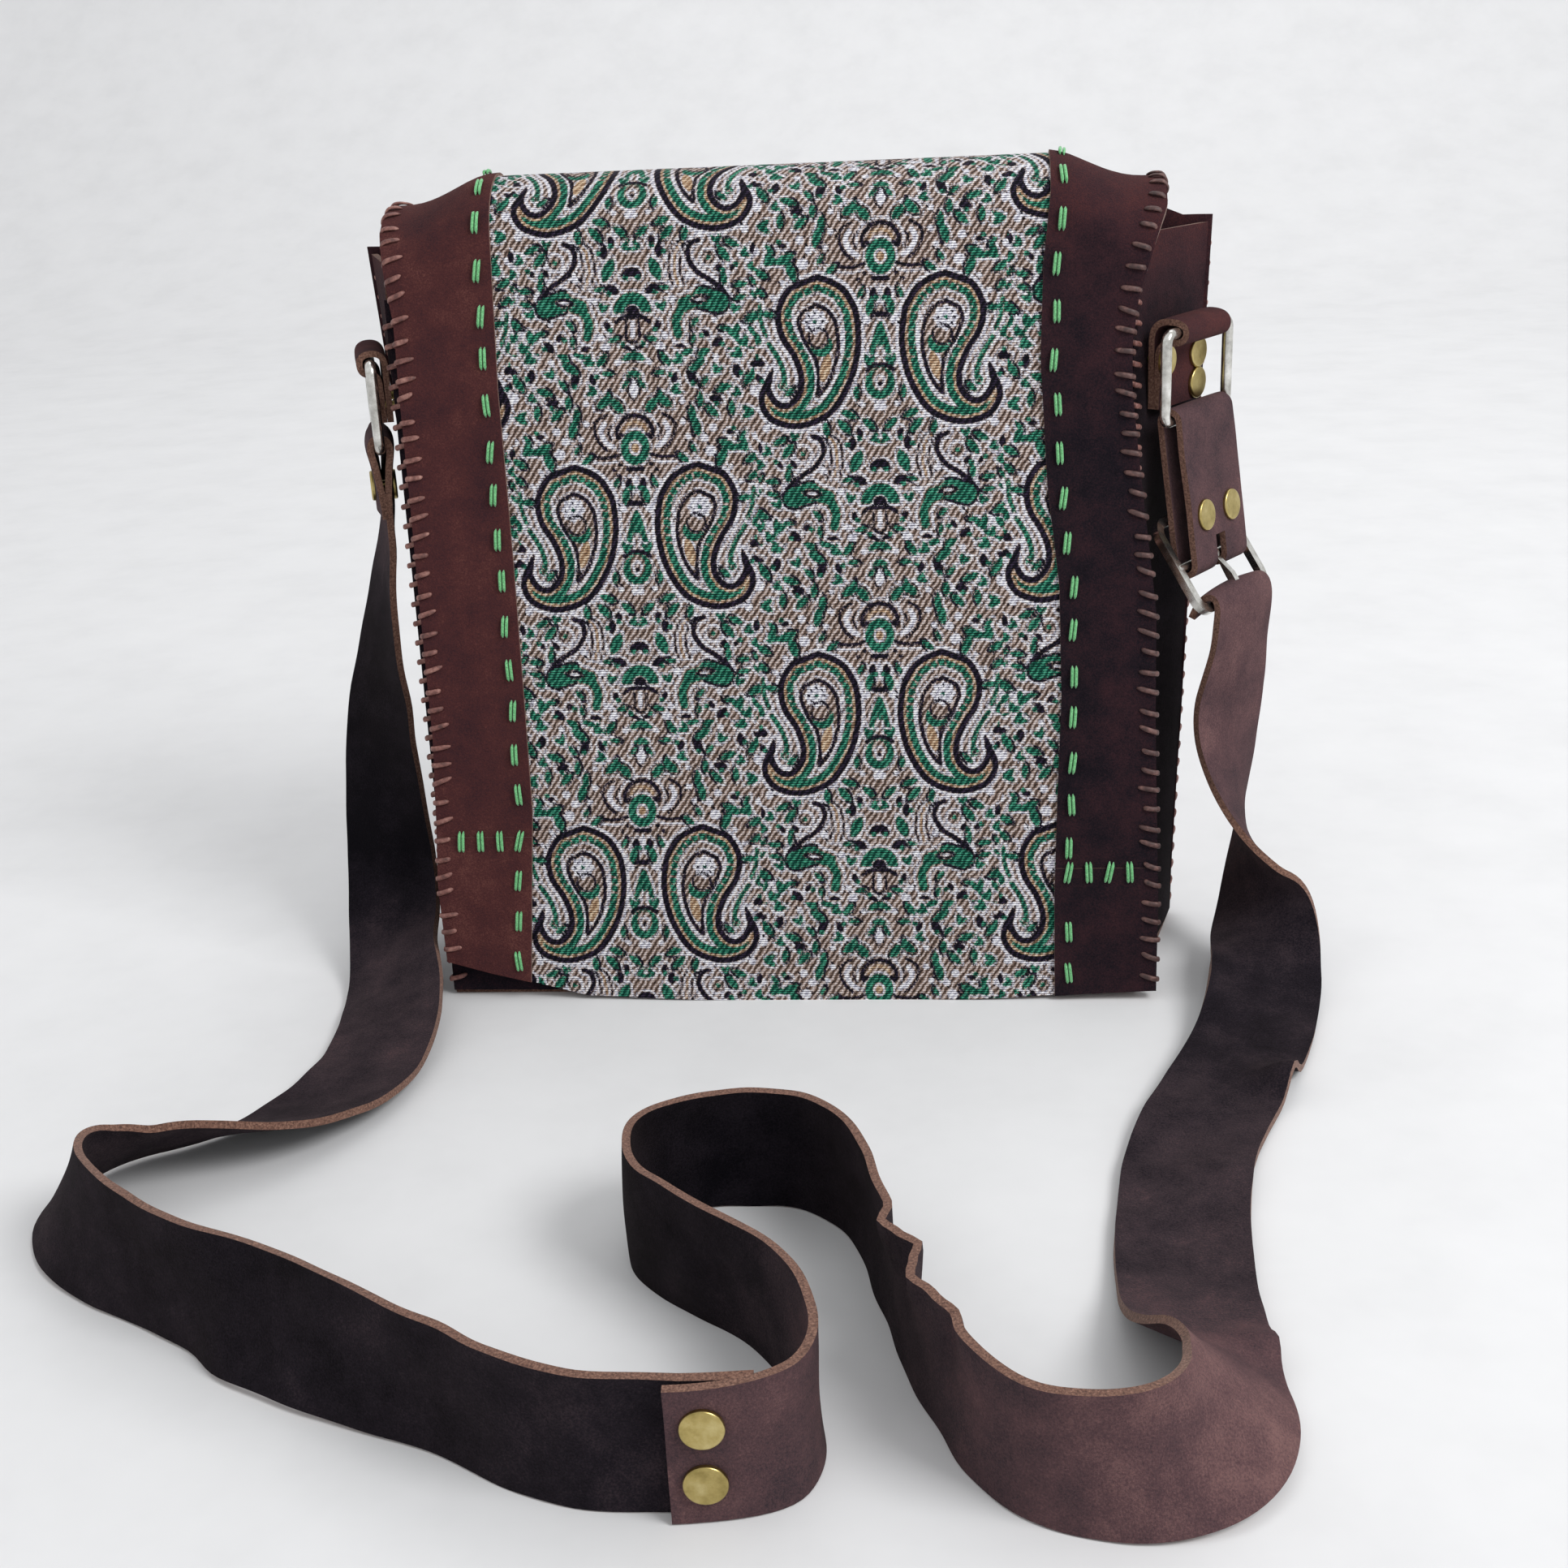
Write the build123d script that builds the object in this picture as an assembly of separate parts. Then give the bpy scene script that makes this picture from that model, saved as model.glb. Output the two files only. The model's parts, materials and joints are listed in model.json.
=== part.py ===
from build123d import *
from math import atan2, cos, hypot, radians, sin, sqrt, tan
import os

os.makedirs("parts", exist_ok=True)

# leather and clearances
hide = 2.0
seam = 0.3
overrun = 20.0

# bag body at the base and at the rim, where the rim is a measuring height
rim = 238.0
front_foot = -31.0
back_foot = 32.0
front_lean = radians(11.0)
back_lean = radians(4.3)
front_half = 114.0
front_left_flare = 10.0
front_right_flare = -2.0
back_left_more = 6.0
back_right_more = 16.0
back_left_flare = 17.0
back_right_flare = 9.5
back_height = 247.2
front_drop = 22.2
gusset_drop = 11.2
back_left_foot = front_half + back_left_more
back_right_foot = front_half + back_right_more
front_left_rim = front_half + front_left_flare
front_right_rim = front_half + front_right_flare
back_left_rim = back_left_foot + back_left_flare
back_right_rim = back_right_foot + back_right_flare
front_height = back_height - front_drop
gusset_height = back_height - gusset_drop

# lace that whips the seams together
lace_width = 2.2
lace_thick = 0.8
lace_reach = 5.0
lace_lift = 0.12
lace_pitch = 7.6
lace_margin = 9.0

# flap layers and outline
flap_gap = 2.0
lining = 1.2
brocade = 0.8
strip = 1.8
flap_left_over = 6.0
flap_right_over = 3.0
flap_left = front_half + flap_left_over
flap_right = front_half + flap_right_over
strip_left = 32.0
strip_right = 31.0
flap_foot = 4.0
crest_lift = 0.8
slump_share = 0.3836
crest_rise = back_height + crest_lift
hinge_step = 0.35
patch_left = 55.0
patch_right = 43.0

# thread on the flap
stitch_length = 7.8
stitch_width = 2.6
stitch_thick = 0.6
stitch_pitch = 14.0
stitch_inset = 4.0
stitch_drop = 3.0
row_count = 4

# rings and the tabs that hold them
wire = 3.5
ring_long = 40.0
ring_tall = 27.0
ring_corner = 2.8
bar_clear = 0.45
tab_wide = 27.5
tab_rest = 1.4
tab_layer = 0.1
tab_left_drop = 19.0
tab_right_drop = 24.0
loop_left_drop = 31.0
loop_right_drop = 29.0
loop_left_rise = gusset_height - loop_left_drop
loop_right_rise = gusset_height - loop_right_drop
loop_left_out = 7.0
loop_right_out = 11.0
loop_right_shift = -2.0

# double-cap rivets
cap_wide = 10.0
cap_thick = 1.2
cap_round = 0.6
shank = 3.0
shank_clear = 0.15

# buckle, its tab and its prong
buckle_tab_wide = 34.0
buckle_drop = 45.0
buckle_out = 7.0
buckle_long = 47.0
buckle_tall = 34.0
buckle_bar = 3.0
buckle_thick = 2.4
buckle_corner = 6.0
buckle_tilt = radians(35.0)
centre_bar = 3.0
tab_rivet_drop = 31.0
tab_rivet_gap = 17.0
prong_wide = 2.4
prong_eye = 0.9
prong_tip = 2.5
slot_clear = 0.8

# strap
strap_wide = 35.0
strap_thick = 2.2
strap_step = 9.0
bend_step = radians(20.0)
bend_share = 0.45
strap_chunk = 6
left_rivet_drop = 15.0
left_leaf_long = 23.0
left_leaf_start = 9.5
fold_room = 0.7
joint_spread = 14.5

# each strap's middle line on the floor, with the way from its lower edge to its upper edge
strap_left_route = [
    ((-141, -30, 3), (0.97, 0.2, 0)),
    ((-134, -62, 2), (0.99, 0.1, 0)),
    ((-131, -95, 2), (0.98, -0.17, 0)),
    ((-140, -124, 6.5), (0.75, -0.6, 0.25)),
    ((-160, -139, 11.5), (0.2, -0.78, 0.58)),
    ((-180, -148, 13), (0.35, -0.7, 0.62)),
    ((-190, -168, 15), (0.6, -0.1, 0.79)),
    ((-176, -193, 17.4), (0.3, 0.2, 0.93)),
    ((-138, -217, 18.1), (0, 0, 1)),
    ((-110, -232, 17.6), (0, 0.4, 0.9)),
    ((-84, -245, 17.8), (0, 0.25, 0.97)),
    ((-62, -256, 17.8), (0, 0, 1)),
    ((-40, -269, 17.8), (0, 0, 1)),
    ((-17, -275, 17.8), (0, 0, 1)),
    ((13, -271.5, 17.8), (0, 0, 1)),
]
strap_right_route = [
    ((-6, -276.6, 17.8), (0, 0, 1)),
    ((17, -274.4, 17.8), (0, 0, 1)),
    ((26, -258, 17.8), (0, 0, 1)),
    ((20, -237, 17.8), (0, 0, 1)),
    ((6, -216, 17.8), (0.1, -0.2, 0.97)),
    ((-14, -203, 17.8), (0, 0, 1)),
    ((-29, -188, 17.8), (0, 0, 1)),
    ((-30, -168, 17.8), (0, 0, 1)),
    ((-15, -156, 17.8), (0, 0, 1)),
    ((4, -153, 17.8), (0, 0, 1)),
    ((21, -159, 17.8), (0, 0, 1)),
    ((32, -176, 17.8), (0, 0, 1)),
    ((37, -198, 17.8), (0, 0, 1)),
    ((43, -221, 17.8), (0, 0, 1)),
    ((51, -244, 17.8), (0, 0, 1)),
    ((60, -263, 17.8), (0, 0, 1)),
    ((74, -276, 17.8), (0, 0, 1)),
    ((96, -278, 17.9), (-0.05, 0.15, 0.98)),
    ((113, -266, 16.6), (-0.4, 0.4, 0.82)),
    ((119, -247, 16.2), (-0.65, 0.45, 0.6)),
    ((112, -222, 8.8), (-0.9, 0.4, 0.1)),
    ((112, -192, 2), (-0.98, 0.15, 0)),
    ((115, -158, 2), (-0.98, 0.2, 0)),
    ((121, -126, 2), (-0.96, 0.28, 0)),
    ((134, -97, 2.5), (-0.95, 0.3, 0.02)),
    ((147, -66, 4), (-0.97, 0.23, 0.1)),
    ((155, -34, 8), (-0.85, 0.4, 0.3)),
]

# each strap's hanging run, as steps from its bar, shares of the bar's height and the way across
left_hang_steps = [(-4.2, -3.7), (-8.2, -9.7), (-8.2, -19.7), (-7.2, -33.7)]
left_hang_shares = [0.674, 0.472, 0.258, 0.09]
left_hang_ways = [(0.5, -0.87, 0), (0.8, -0.6, 0), (0.95, -0.3, 0), (0.99, 0.1, 0)]
right_hang_steps = [(10.9, -16.9), (7.9, -6.9), (3.9, -2.9), (1.9, -0.9)]
right_hang_shares = [0.147, 0.327, 0.523, 0.72]
right_hang_ways = [(-0.75, 0.55, -0.2), (0, 1, -0.2), (0.37, 0.92, 0), (0.53, 0.85, 0)]


def share(height):
    return height / rim


def front_y(z):
    return front_foot + z * tan(front_lean)


def back_y(z):
    return back_foot + z * tan(back_lean)


def edge_x(foot, top, z):
    return foot + (top - foot) * share(z)


def front_x(side, z):
    return -edge_x(front_half, front_left_rim, z) if side < 0 else edge_x(front_half, front_right_rim, z)


def back_x(side, z):
    return -edge_x(back_left_foot, back_left_rim, z) if side < 0 else edge_x(back_right_foot, back_right_rim, z)


def outline(points):
    return make_face(Polyline(*[Vector(*p) for p in points], close=True))


def ruled(sections):
    return loft(sections, ruled=True)


def save(shape, name):
    shape.label = name
    export_step(shape, "parts/" + name + ".step")


# the five walls of the body
def base_panel():
    y0 = front_y(hide) + hide + seam
    y1 = back_foot - seam
    back_in = hide + seam
    points = [
        (front_x(-1, 0) + back_in, y0, 0),
        (front_x(1, 0) - back_in, y0, 0),
        (back_x(1, 0) - back_in, y1, 0),
        (back_x(-1, 0) + back_in, y1, 0),
    ]
    return extrude(outline(points), hide)


def wall_section(z, left, right, near, far):
    return outline([(left, near, z), (right, near, z), (right, far, z), (left, far, z)])


def front_panel():
    def at(z):
        return wall_section(z, front_x(-1, z), front_x(1, z), front_y(z), front_y(z) + hide)

    return ruled([at(0), at(front_height)])


def back_panel():
    def at(z):
        return wall_section(z, back_x(-1, z), back_x(1, z), back_y(z), back_y(z) + hide)

    return ruled([at(0), at(back_height)])


def gusset_ends(side, z):
    near = Vector(front_x(side, z), front_y(z) + hide + seam, z)
    far = Vector(back_x(side, z), back_y(z) - seam, z)
    return near, far


def gusset_way(side, z):
    near, far = gusset_ends(side, z)
    along = (far - near).normalized()
    out = Vector(along.Y, -along.X, 0) * side
    return along, out


def gusset(side):
    def at(z):
        near, far = gusset_ends(side, z)
        inward = Vector(-side, 0, 0) * (hide / abs(gusset_way(side, z)[1].X))
        return outline([near, far, far + inward, near + inward])

    body = ruled([at(0), at(gusset_height)])
    for hole in tab_rivet_holes(side):
        body -= hole
    return body


# lacing over a body seam, one short bar bent round the edge at a time
def lace_section(side, back, z):
    along, out = gusset_way(side, z)
    near, far = gusset_ends(side, z)
    flank = far - along * lace_reach if back else near + along * lace_reach
    end = far if back else near
    edge = back_x(side, z) if back else front_x(side, z)
    face = back_y(z) + hide if back else front_y(z)
    turn = 1 if back else -1
    lift = lace_lift
    top = lace_lift + lace_thick
    return outline(
        [
            flank + out * lift,
            end + out * lift,
            (edge + side * lift, face + turn * lift, z),
            (edge - side * lace_reach, face + turn * lift, z),
            (edge - side * lace_reach, face + turn * top, z),
            (edge + side * top, face + turn * top, z),
            end + out * top,
            flank + out * top,
        ]
    )


def seam_lacing(side, back):
    height = gusset_height if back else front_height
    count = int((height - lace_margin - lace_margin) // lace_pitch)
    bars = []
    for i in range(count):
        z = lace_margin + i * lace_pitch
        bars.append(ruled([lace_section(side, back, z), lace_section(side, back, z + lace_width)]))
    return Compound(children=bars)


# flap profile: a flat front that leans back and one round over the top to the hinge
flap_stack = lining + strip
hinge_y = back_y(back_height) + hide + hinge_step
hinge_z = back_height + seam
flap_foot_y = front_foot - (flap_gap + flap_stack) / cos(front_lean)


def flap_front(rise, depth):
    y = flap_foot_y + rise * sin(front_lean) + depth * cos(front_lean)
    z = rise * cos(front_lean) - depth * sin(front_lean)
    return y, z


# the flap's side edges turn over lower than its middle, by a share of the mouth's depth
mouth = hinge_y - flap_front(crest_rise, 0)[0]
edge_rise = crest_rise - mouth * slump_share


def flap_round(rise):
    y, z = flap_front(rise, 0)
    dy = hinge_y - y
    dz = hinge_z - z
    radius = (dy * dy + dz * dz) / (2 * (dy * cos(front_lean) - dz * sin(front_lean)))
    return y + radius * cos(front_lean), z - radius * sin(front_lean), radius


def flap_section(x, rise, low, outer, inner):
    cy, cz, radius = flap_round(rise)

    def run(depth):
        r = radius - depth
        foot = flap_front(low, depth)
        start = flap_front(rise, depth)
        end = (cy + sqrt(r * r - (hinge_z - cz) ** 2), hinge_z)
        a0 = atan2(start[1] - cz, start[0] - cy)
        a1 = atan2(end[1] - cz, end[0] - cy)
        mid = (cy + r * cos((a0 + a1) / 2), cz + r * sin((a0 + a1) / 2))
        return [(x, p[0], p[1]) for p in (foot, start, mid, end)]

    a = run(outer)
    b = run(inner)
    edges = [
        Line(a[0], a[1]),
        ThreePointArc(a[1], a[2], a[3]),
        Line(a[3], b[3]),
        ThreePointArc(b[3], b[2], b[1]),
        Line(b[1], b[0]),
        Line(b[0], a[0]),
    ]
    return make_face(edges)


strip_left_x = -(flap_left - strip_left)
strip_right_x = flap_right - strip_right


def flap_lining():
    at = [(-flap_left, edge_rise), (strip_left_x, crest_rise), (strip_right_x, crest_rise), (flap_right, edge_rise)]
    return ruled([flap_section(x, rise, flap_foot, strip, flap_stack) for x, rise in at])


def flap_brocade():
    at = [strip_left_x + seam, strip_right_x - seam]
    return ruled([flap_section(x, crest_rise, flap_foot, strip - brocade, strip) for x in at])


def flap_strip(side):
    outer = -flap_left if side < 0 else flap_right
    inner = strip_left_x if side < 0 else strip_right_x
    low = flap_foot + (patch_left if side < 0 else patch_right) + seam
    sections = [(inner, crest_rise), (outer, edge_rise)]
    return ruled([flap_section(x, rise, low, 0, strip) for x, rise in sections])


def front_plane(rise, depth=0.0):
    y, z = flap_front(rise, depth)
    return Plane(origin=(0, y, z), x_dir=(1, 0, 0), z_dir=(0, -cos(front_lean), sin(front_lean)))


def block(rise, x0, x1, up0, up1, low, high):
    wide = x1 - x0
    tall = up1 - up0
    box = Box(wide, tall, high - low, align=(Align.MIN, Align.MIN, Align.MIN))
    return front_plane(rise) * Pos(x0, up0, low) * box


def flap_patch(side):
    outer = -flap_left if side < 0 else strip_right_x
    inner = strip_left_x if side < 0 else flap_right
    tall = patch_left if side < 0 else patch_right
    return block(flap_foot, outer, inner, 0, tall, -strip, 0)


def flap_lacing(side):
    edge = flap_left if side < 0 else flap_right
    count = int((edge_rise - flap_foot - lace_margin) // lace_pitch)
    bars = []
    for i in range(count):
        rise = flap_foot + lace_margin + i * lace_pitch - lace_pitch / 2
        reach = edge - lace_reach
        rim_in = edge + lace_lift
        rim_out = edge + lace_lift + lace_thick
        under = flap_stack + lace_lift
        spans = [
            (reach, rim_out, lace_lift, lace_lift + lace_thick),
            (rim_in, rim_out, -under - lace_thick, lace_lift + lace_thick),
            (reach, rim_out, -under - lace_thick, -under),
        ]
        parts = []
        for x0, x1, low, high in spans:
            ends = (x0, x1) if side > 0 else (-x1, -x0)
            parts.append(block(rise, ends[0], ends[1], 0, lace_width, low, high))
        bars.append(parts[0] + parts[1] + parts[2])
    return Compound(children=bars)


def flap_stitches(side):
    inner = strip_left_x if side < 0 else strip_right_x
    middle = inner + side * stitch_inset
    half = stitch_width / 2
    seam_rise = patch_left if side < 0 else patch_right
    row = flap_foot + seam_rise - stitch_length / 2
    bars = []
    rise = flap_foot + stitch_drop
    while rise + stitch_length < edge_rise:
        if abs(rise - row) > stitch_length + seam:
            bars.append(block(rise, middle - half, middle + half, 0, stitch_length, 0, stitch_thick))
        rise += stitch_pitch
    width = strip_left if side < 0 else strip_right
    step = (width - stitch_inset - lace_reach - stitch_width) / (row_count - 1)
    for i in range(row_count):
        x = middle + side * (step * i)
        bars.append(block(row, x - half, x + half, 0, stitch_length, 0, stitch_thick))
    return Compound(children=bars)


# a plane for each side's hardware: x out from the gusset, y up, z along the bars
def side_values(side):
    if side < 0:
        return loop_left_rise, loop_left_out, tab_left_drop, 0.0
    return loop_right_rise, loop_right_out, tab_right_drop, loop_right_shift


def side_plane(side):
    rise, out_by, drop, shift = side_values(side)
    z = rise - drop / 2
    near, far = gusset_ends(side, z)
    along, out = gusset_way(side, z)
    middle = (near + far) / 2 + along * shift
    return Plane(origin=(middle.X, middle.Y, 0), x_dir=(out.X, out.Y, 0), z_dir=along * -side)


def band(plane, points, radii, wide, thick):
    path = FilletPolyline(*points, radius=radii)
    face = trace(path, thick)
    return plane * Pos(0, 0, -wide / 2) * extrude(face, wide)


bar_gap = wire / 2 + bar_clear


def tab(side):
    rise, out_by, drop, shift = side_values(side)
    reach = bar_gap + hide / 2
    first = tab_rest + hide / 2
    second = first + hide + tab_layer
    low = rise - drop
    points = [
        (first, low),
        (first, rise + reach),
        (out_by + reach, rise + reach),
        (out_by + reach, rise - reach),
        (second, rise - reach),
        (second, low),
    ]
    bend = hide / 2 + tab_layer
    body = band(side_plane(side), points, [bend, reach - tab_layer, reach - tab_layer, bend], tab_wide, hide)
    for hole in tab_rivet_holes(side):
        body -= hole
    return body


# where the tab rivets sit, as height below the loop and place along it
def tab_rivet_spots(side):
    rise, out_by, drop, shift = side_values(side)
    upper = rise - bar_gap - hide - cap_wide / 2
    lower = rise - drop + cap_wide / 2
    if side < 0:
        return [(-cap_wide, lower), (cap_wide, lower)]
    return [(-cap_wide, upper), (cap_wide, upper), (-cap_wide, lower)]


def tab_rivet_line(side, spot):
    z, y = spot
    return side_plane(side) * Pos(0, y, z) * Rot(0, 90, 0)


def tab_rivet_holes(side):
    radius = shank / 2 + shank_clear
    hole = Cylinder(radius, overrun)
    return [tab_rivet_line(side, spot) * hole for spot in tab_rivet_spots(side)]


def rivet(inner, outer):
    head = Cylinder(cap_wide / 2, cap_thick, align=(Align.CENTER, Align.CENTER, Align.MIN))
    head = fillet(head.edges().group_by(Axis.Z)[-1], cap_round)
    stem = Cylinder(shank / 2, outer - inner, align=(Align.CENTER, Align.CENTER, Align.MIN))
    foot = Cylinder(cap_wide / 2, cap_thick, align=(Align.CENTER, Align.CENTER, Align.MAX))
    foot = fillet(foot.edges().group_by(Axis.Z)[0], cap_round)
    return Pos(0, 0, outer) * head + Pos(0, 0, inner) * stem + Pos(0, 0, inner) * foot


def tab_rivets(side):
    outer = tab_rest + hide + hide + tab_layer
    inner = -hide - tab_rest - seam
    return Compound(children=[tab_rivet_line(side, spot) * rivet(inner, outer) for spot in tab_rivet_spots(side)])


# rectangular wire ring, drawn with its upper bar at the loop
def ring(side):
    rise, out_by, drop, shift = side_values(side)
    path = RectangleRounded(ring_long, ring_tall, ring_corner).face().outer_wire()
    start = path @ 0
    way = path % 0
    section = Plane(origin=start, z_dir=way) * Circle(wire / 2)
    body = sweep(section, path=path)
    turned = Rot(0, 90, 0) * body
    return side_plane(side) * Pos(out_by, rise - ring_tall / 2, 0) * turned


def ring_low(side):
    rise, out_by, drop, shift = side_values(side)
    return out_by, rise - ring_tall


# buckle tab: one belt round the ring's lower bar and the buckle's centre bar
buckle_in = centre_bar / 2 + bar_clear
belt_in = max(bar_gap, buckle_in)
buckle_plane = side_plane(1)
ring_x, ring_y = ring_low(1)
bar_x = ring_x + buckle_out
bar_y = ring_y - buckle_drop
belt_way = atan2(-buckle_drop, buckle_out)


def belt(radius):
    a = (ring_x, ring_y)
    b = (bar_x, bar_y)
    return make_hull(
        (Pos(*a) * Circle(radius)).edges() + (Pos(*b) * Circle(radius)).edges()
    )


def buckle_spots():
    t = tab_rivet_drop / hypot(buckle_drop, buckle_out)
    x = ring_x + (bar_x - ring_x) * t
    y = ring_y + (bar_y - ring_y) * t
    turn = belt_way * 180 / radians(180) + 90
    half = tab_rivet_gap / 2
    return [buckle_plane * Pos(x, y, z) * Rot(0, 0, turn) * Rot(0, 90, 0) for z in (-half, half)]


def buckle_tab():
    face = belt(belt_in + hide) - belt(belt_in)
    body = buckle_plane * Pos(0, 0, -buckle_tab_wide / 2) * extrude(face, buckle_tab_wide)
    hole = Cylinder(shank / 2 + shank_clear, overrun, align=(Align.CENTER, Align.CENTER, Align.MIN))
    for place in buckle_spots():
        body -= place * hole
    slot_wide = prong_wide + slot_clear + slot_clear
    slot_tall = (belt_in + hide) * 2
    slot = Box(slot_tall * 2, slot_tall * 2, slot_wide)
    return body - buckle_plane * Pos(bar_x, bar_y - slot_tall / 2, 0) * slot


def buckle_tab_rivets():
    return Compound(children=[place * rivet(belt_in, belt_in + hide) for place in buckle_spots()])


# buckle: x along the bars, y up its face, z out of it
def face_plane():
    turn = Rot(0, 0, buckle_tilt * 180 / radians(180))
    return buckle_plane * Pos(bar_x, bar_y, 0) * turn


def buckle_frame():
    outer = RectangleRounded(buckle_long, buckle_tall, buckle_corner)
    inner_tall = buckle_tall - buckle_bar - buckle_bar
    inner_long = buckle_long - buckle_bar - buckle_bar
    inner = RectangleRounded(inner_long, inner_tall, buckle_corner - buckle_bar)
    body = extrude(outer - inner, buckle_thick / 2, both=True)
    bar = Rot(0, 90, 0) * Cylinder(centre_bar / 2, buckle_long - buckle_bar)
    return face_plane() * Rot(0, 90, 0) * (body + bar)


# prong: an eye round the centre bar and a tongue that rests on the lower bar
def buckle_prong():
    eye_in = centre_bar / 2 + bar_clear / 2
    eye_out = eye_in + prong_eye
    eye = extrude(Circle(eye_out) - Circle(eye_in), prong_wide / 2, both=True)
    lift = buckle_thick / 2 + seam
    reach = buckle_tall / 2 + prong_tip
    points = [
        (eye_in + prong_eye / 3, -eye_in),
        (lift + prong_wide, -buckle_tall / 4),
        (lift + prong_wide, -reach),
        (lift, -reach),
        (lift, -buckle_tall / 4),
        (eye_in + prong_eye / 3, eye_in / 2),
    ]
    flat = make_face(Polyline(*points, close=True)) - Circle(eye_in + prong_eye / 3)
    tongue = extrude(flat, prong_wide / 2, both=True)
    return face_plane() * (eye + tongue)


# adds even stations along one stretch of a strap
def add_steps(stations, stretch, step):
    count = max(1, round(stretch / step))
    start = stations[-1]
    for i in range(count):
        stations.append(start + stretch * (i + 1) / count)


# a strap is a ruled strip of thin oblong sections along its middle line
def way_between(route, lengths, d):
    for i in range(len(lengths) - 1):
        if d <= lengths[i + 1] or i == len(lengths) - 2:
            t = min(max((d - lengths[i]) / (lengths[i + 1] - lengths[i]), 0), 1)
            a = Vector(*route[i][1])
            b = Vector(*route[i + 1][1])
            return a * (1 - t) + b * t


def strap_body(route, name):
    points = [Vector(*p) for p, way in route]
    runs = [(b - a).length for a, b in zip(points, points[1:])]
    radii = []
    stations = [0.0]
    lead = 0.0
    for i in range(1, len(points) - 1):
        a = (points[i] - points[i - 1]).normalized()
        b = (points[i + 1] - points[i]).normalized()
        half = radians(a.get_angle(b) / 2)
        setback = bend_share * min(runs[i - 1], runs[i])
        radii.append(setback / tan(half))
        add_steps(stations, runs[i - 1] - lead - setback, strap_step)
        add_steps(stations, radii[-1] * half * 2, radii[-1] * bend_step)
        lead = setback
    add_steps(stations, runs[-1] - lead, strap_step)
    print(name, "bend radii", [round(r) for r in radii])
    path = FilletPolyline(*points, radius=radii)
    lengths = [0.0]
    for r in runs:
        lengths.append(lengths[-1] + r)
    whole = path.length
    sections = []
    for station in stations:
        t = min(station / whole, 1)
        place = path @ t
        along = path % t
        across = way_between(route, lengths, t * lengths[-1])
        across = (across - along * across.dot(along)).normalized()
        out = along.cross(across)
        w = across * (strap_wide / 2)
        h = out * (strap_thick / 2)
        sections.append(outline([place - w - h, place + w - h, place + w + h, place - w + h]))
    pieces = []
    for i in range(0, len(sections) - 1, strap_chunk):
        pieces.append(ruled(sections[i : i + strap_chunk + 1]))
    body = pieces[0].fuse(*pieces[1:])
    print(name, "length", round(whole), "volume share", body.volume / (whole * strap_wide * strap_thick))
    print(name, "sections", len(sections), "lowest", round(body.bounding_box().min.Z, 2))
    return body


def on_side(plane, x, y):
    return plane.from_local_coords((x, y, 0))


# left strap: its end folds round the ring's lower bar and a rivet shuts the fold
left_plane = side_plane(-1)
fold = bar_gap + strap_thick / 2


def left_rivet_place():
    x, y = ring_low(-1)
    return left_plane * Pos(x, y - left_rivet_drop, 0) * Rot(0, 90, 0)


def joint_places():
    a = Vector(*strap_left_route[-2][0])
    b = Vector(*strap_left_route[-1][0])
    c = Vector(*strap_right_route[0][0])
    d = Vector(*strap_right_route[1][0])
    along = (d - c).normalized()
    middle = ((a + b) / 2 + (c + d) / 2) / 2
    side = Vector(along.Y, -along.X, 0)
    half = joint_spread / 2
    return [Plane(origin=middle + Vector(0, 0, z), z_dir=side) for z in (-half, half)]


def hang(bar, steps, shares, ways):
    spots = [(bar.X + dx, bar.Y + dy, bar.Z * part) for (dx, dy), part in zip(steps, shares)]
    return list(zip(spots, ways))


def strap_left():
    x, y = ring_low(-1)
    leaf = strap_thick / 2 + seam
    way = left_plane.z_dir
    across = (-way.X, -way.Y, 0) if way.Y > 0 else (way.X, way.Y, 0)
    wide = fold + fold_room
    fold_points = [
        (x + leaf, y - left_leaf_long),
        (x + leaf, y - left_leaf_start),
        (x + wide, y + fold),
        (x - wide, y + fold),
        (x - leaf, y - left_leaf_start),
        (x - leaf, y - left_leaf_long),
    ]
    head = [(on_side(left_plane, a, b), across) for a, b in fold_points]
    run = hang(on_side(left_plane, x, y), left_hang_steps, left_hang_shares, left_hang_ways)
    route = [(tuple(p), w) for p, w in head] + run + strap_left_route
    body = strap_body(route, "strap_left")
    hole = Cylinder(shank / 2 + shank_clear, overrun)
    body -= left_rivet_place() * hole
    for place in joint_places():
        body -= place * hole
    return body


def strap_left_rivet():
    half = strap_thick + seam * 3
    return left_rivet_place() * rivet(-half, half)


def strap_joint_rivets():
    half = strap_thick + seam + seam
    return Compound(children=[place * rivet(-half, half) for place in joint_places()])


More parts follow.
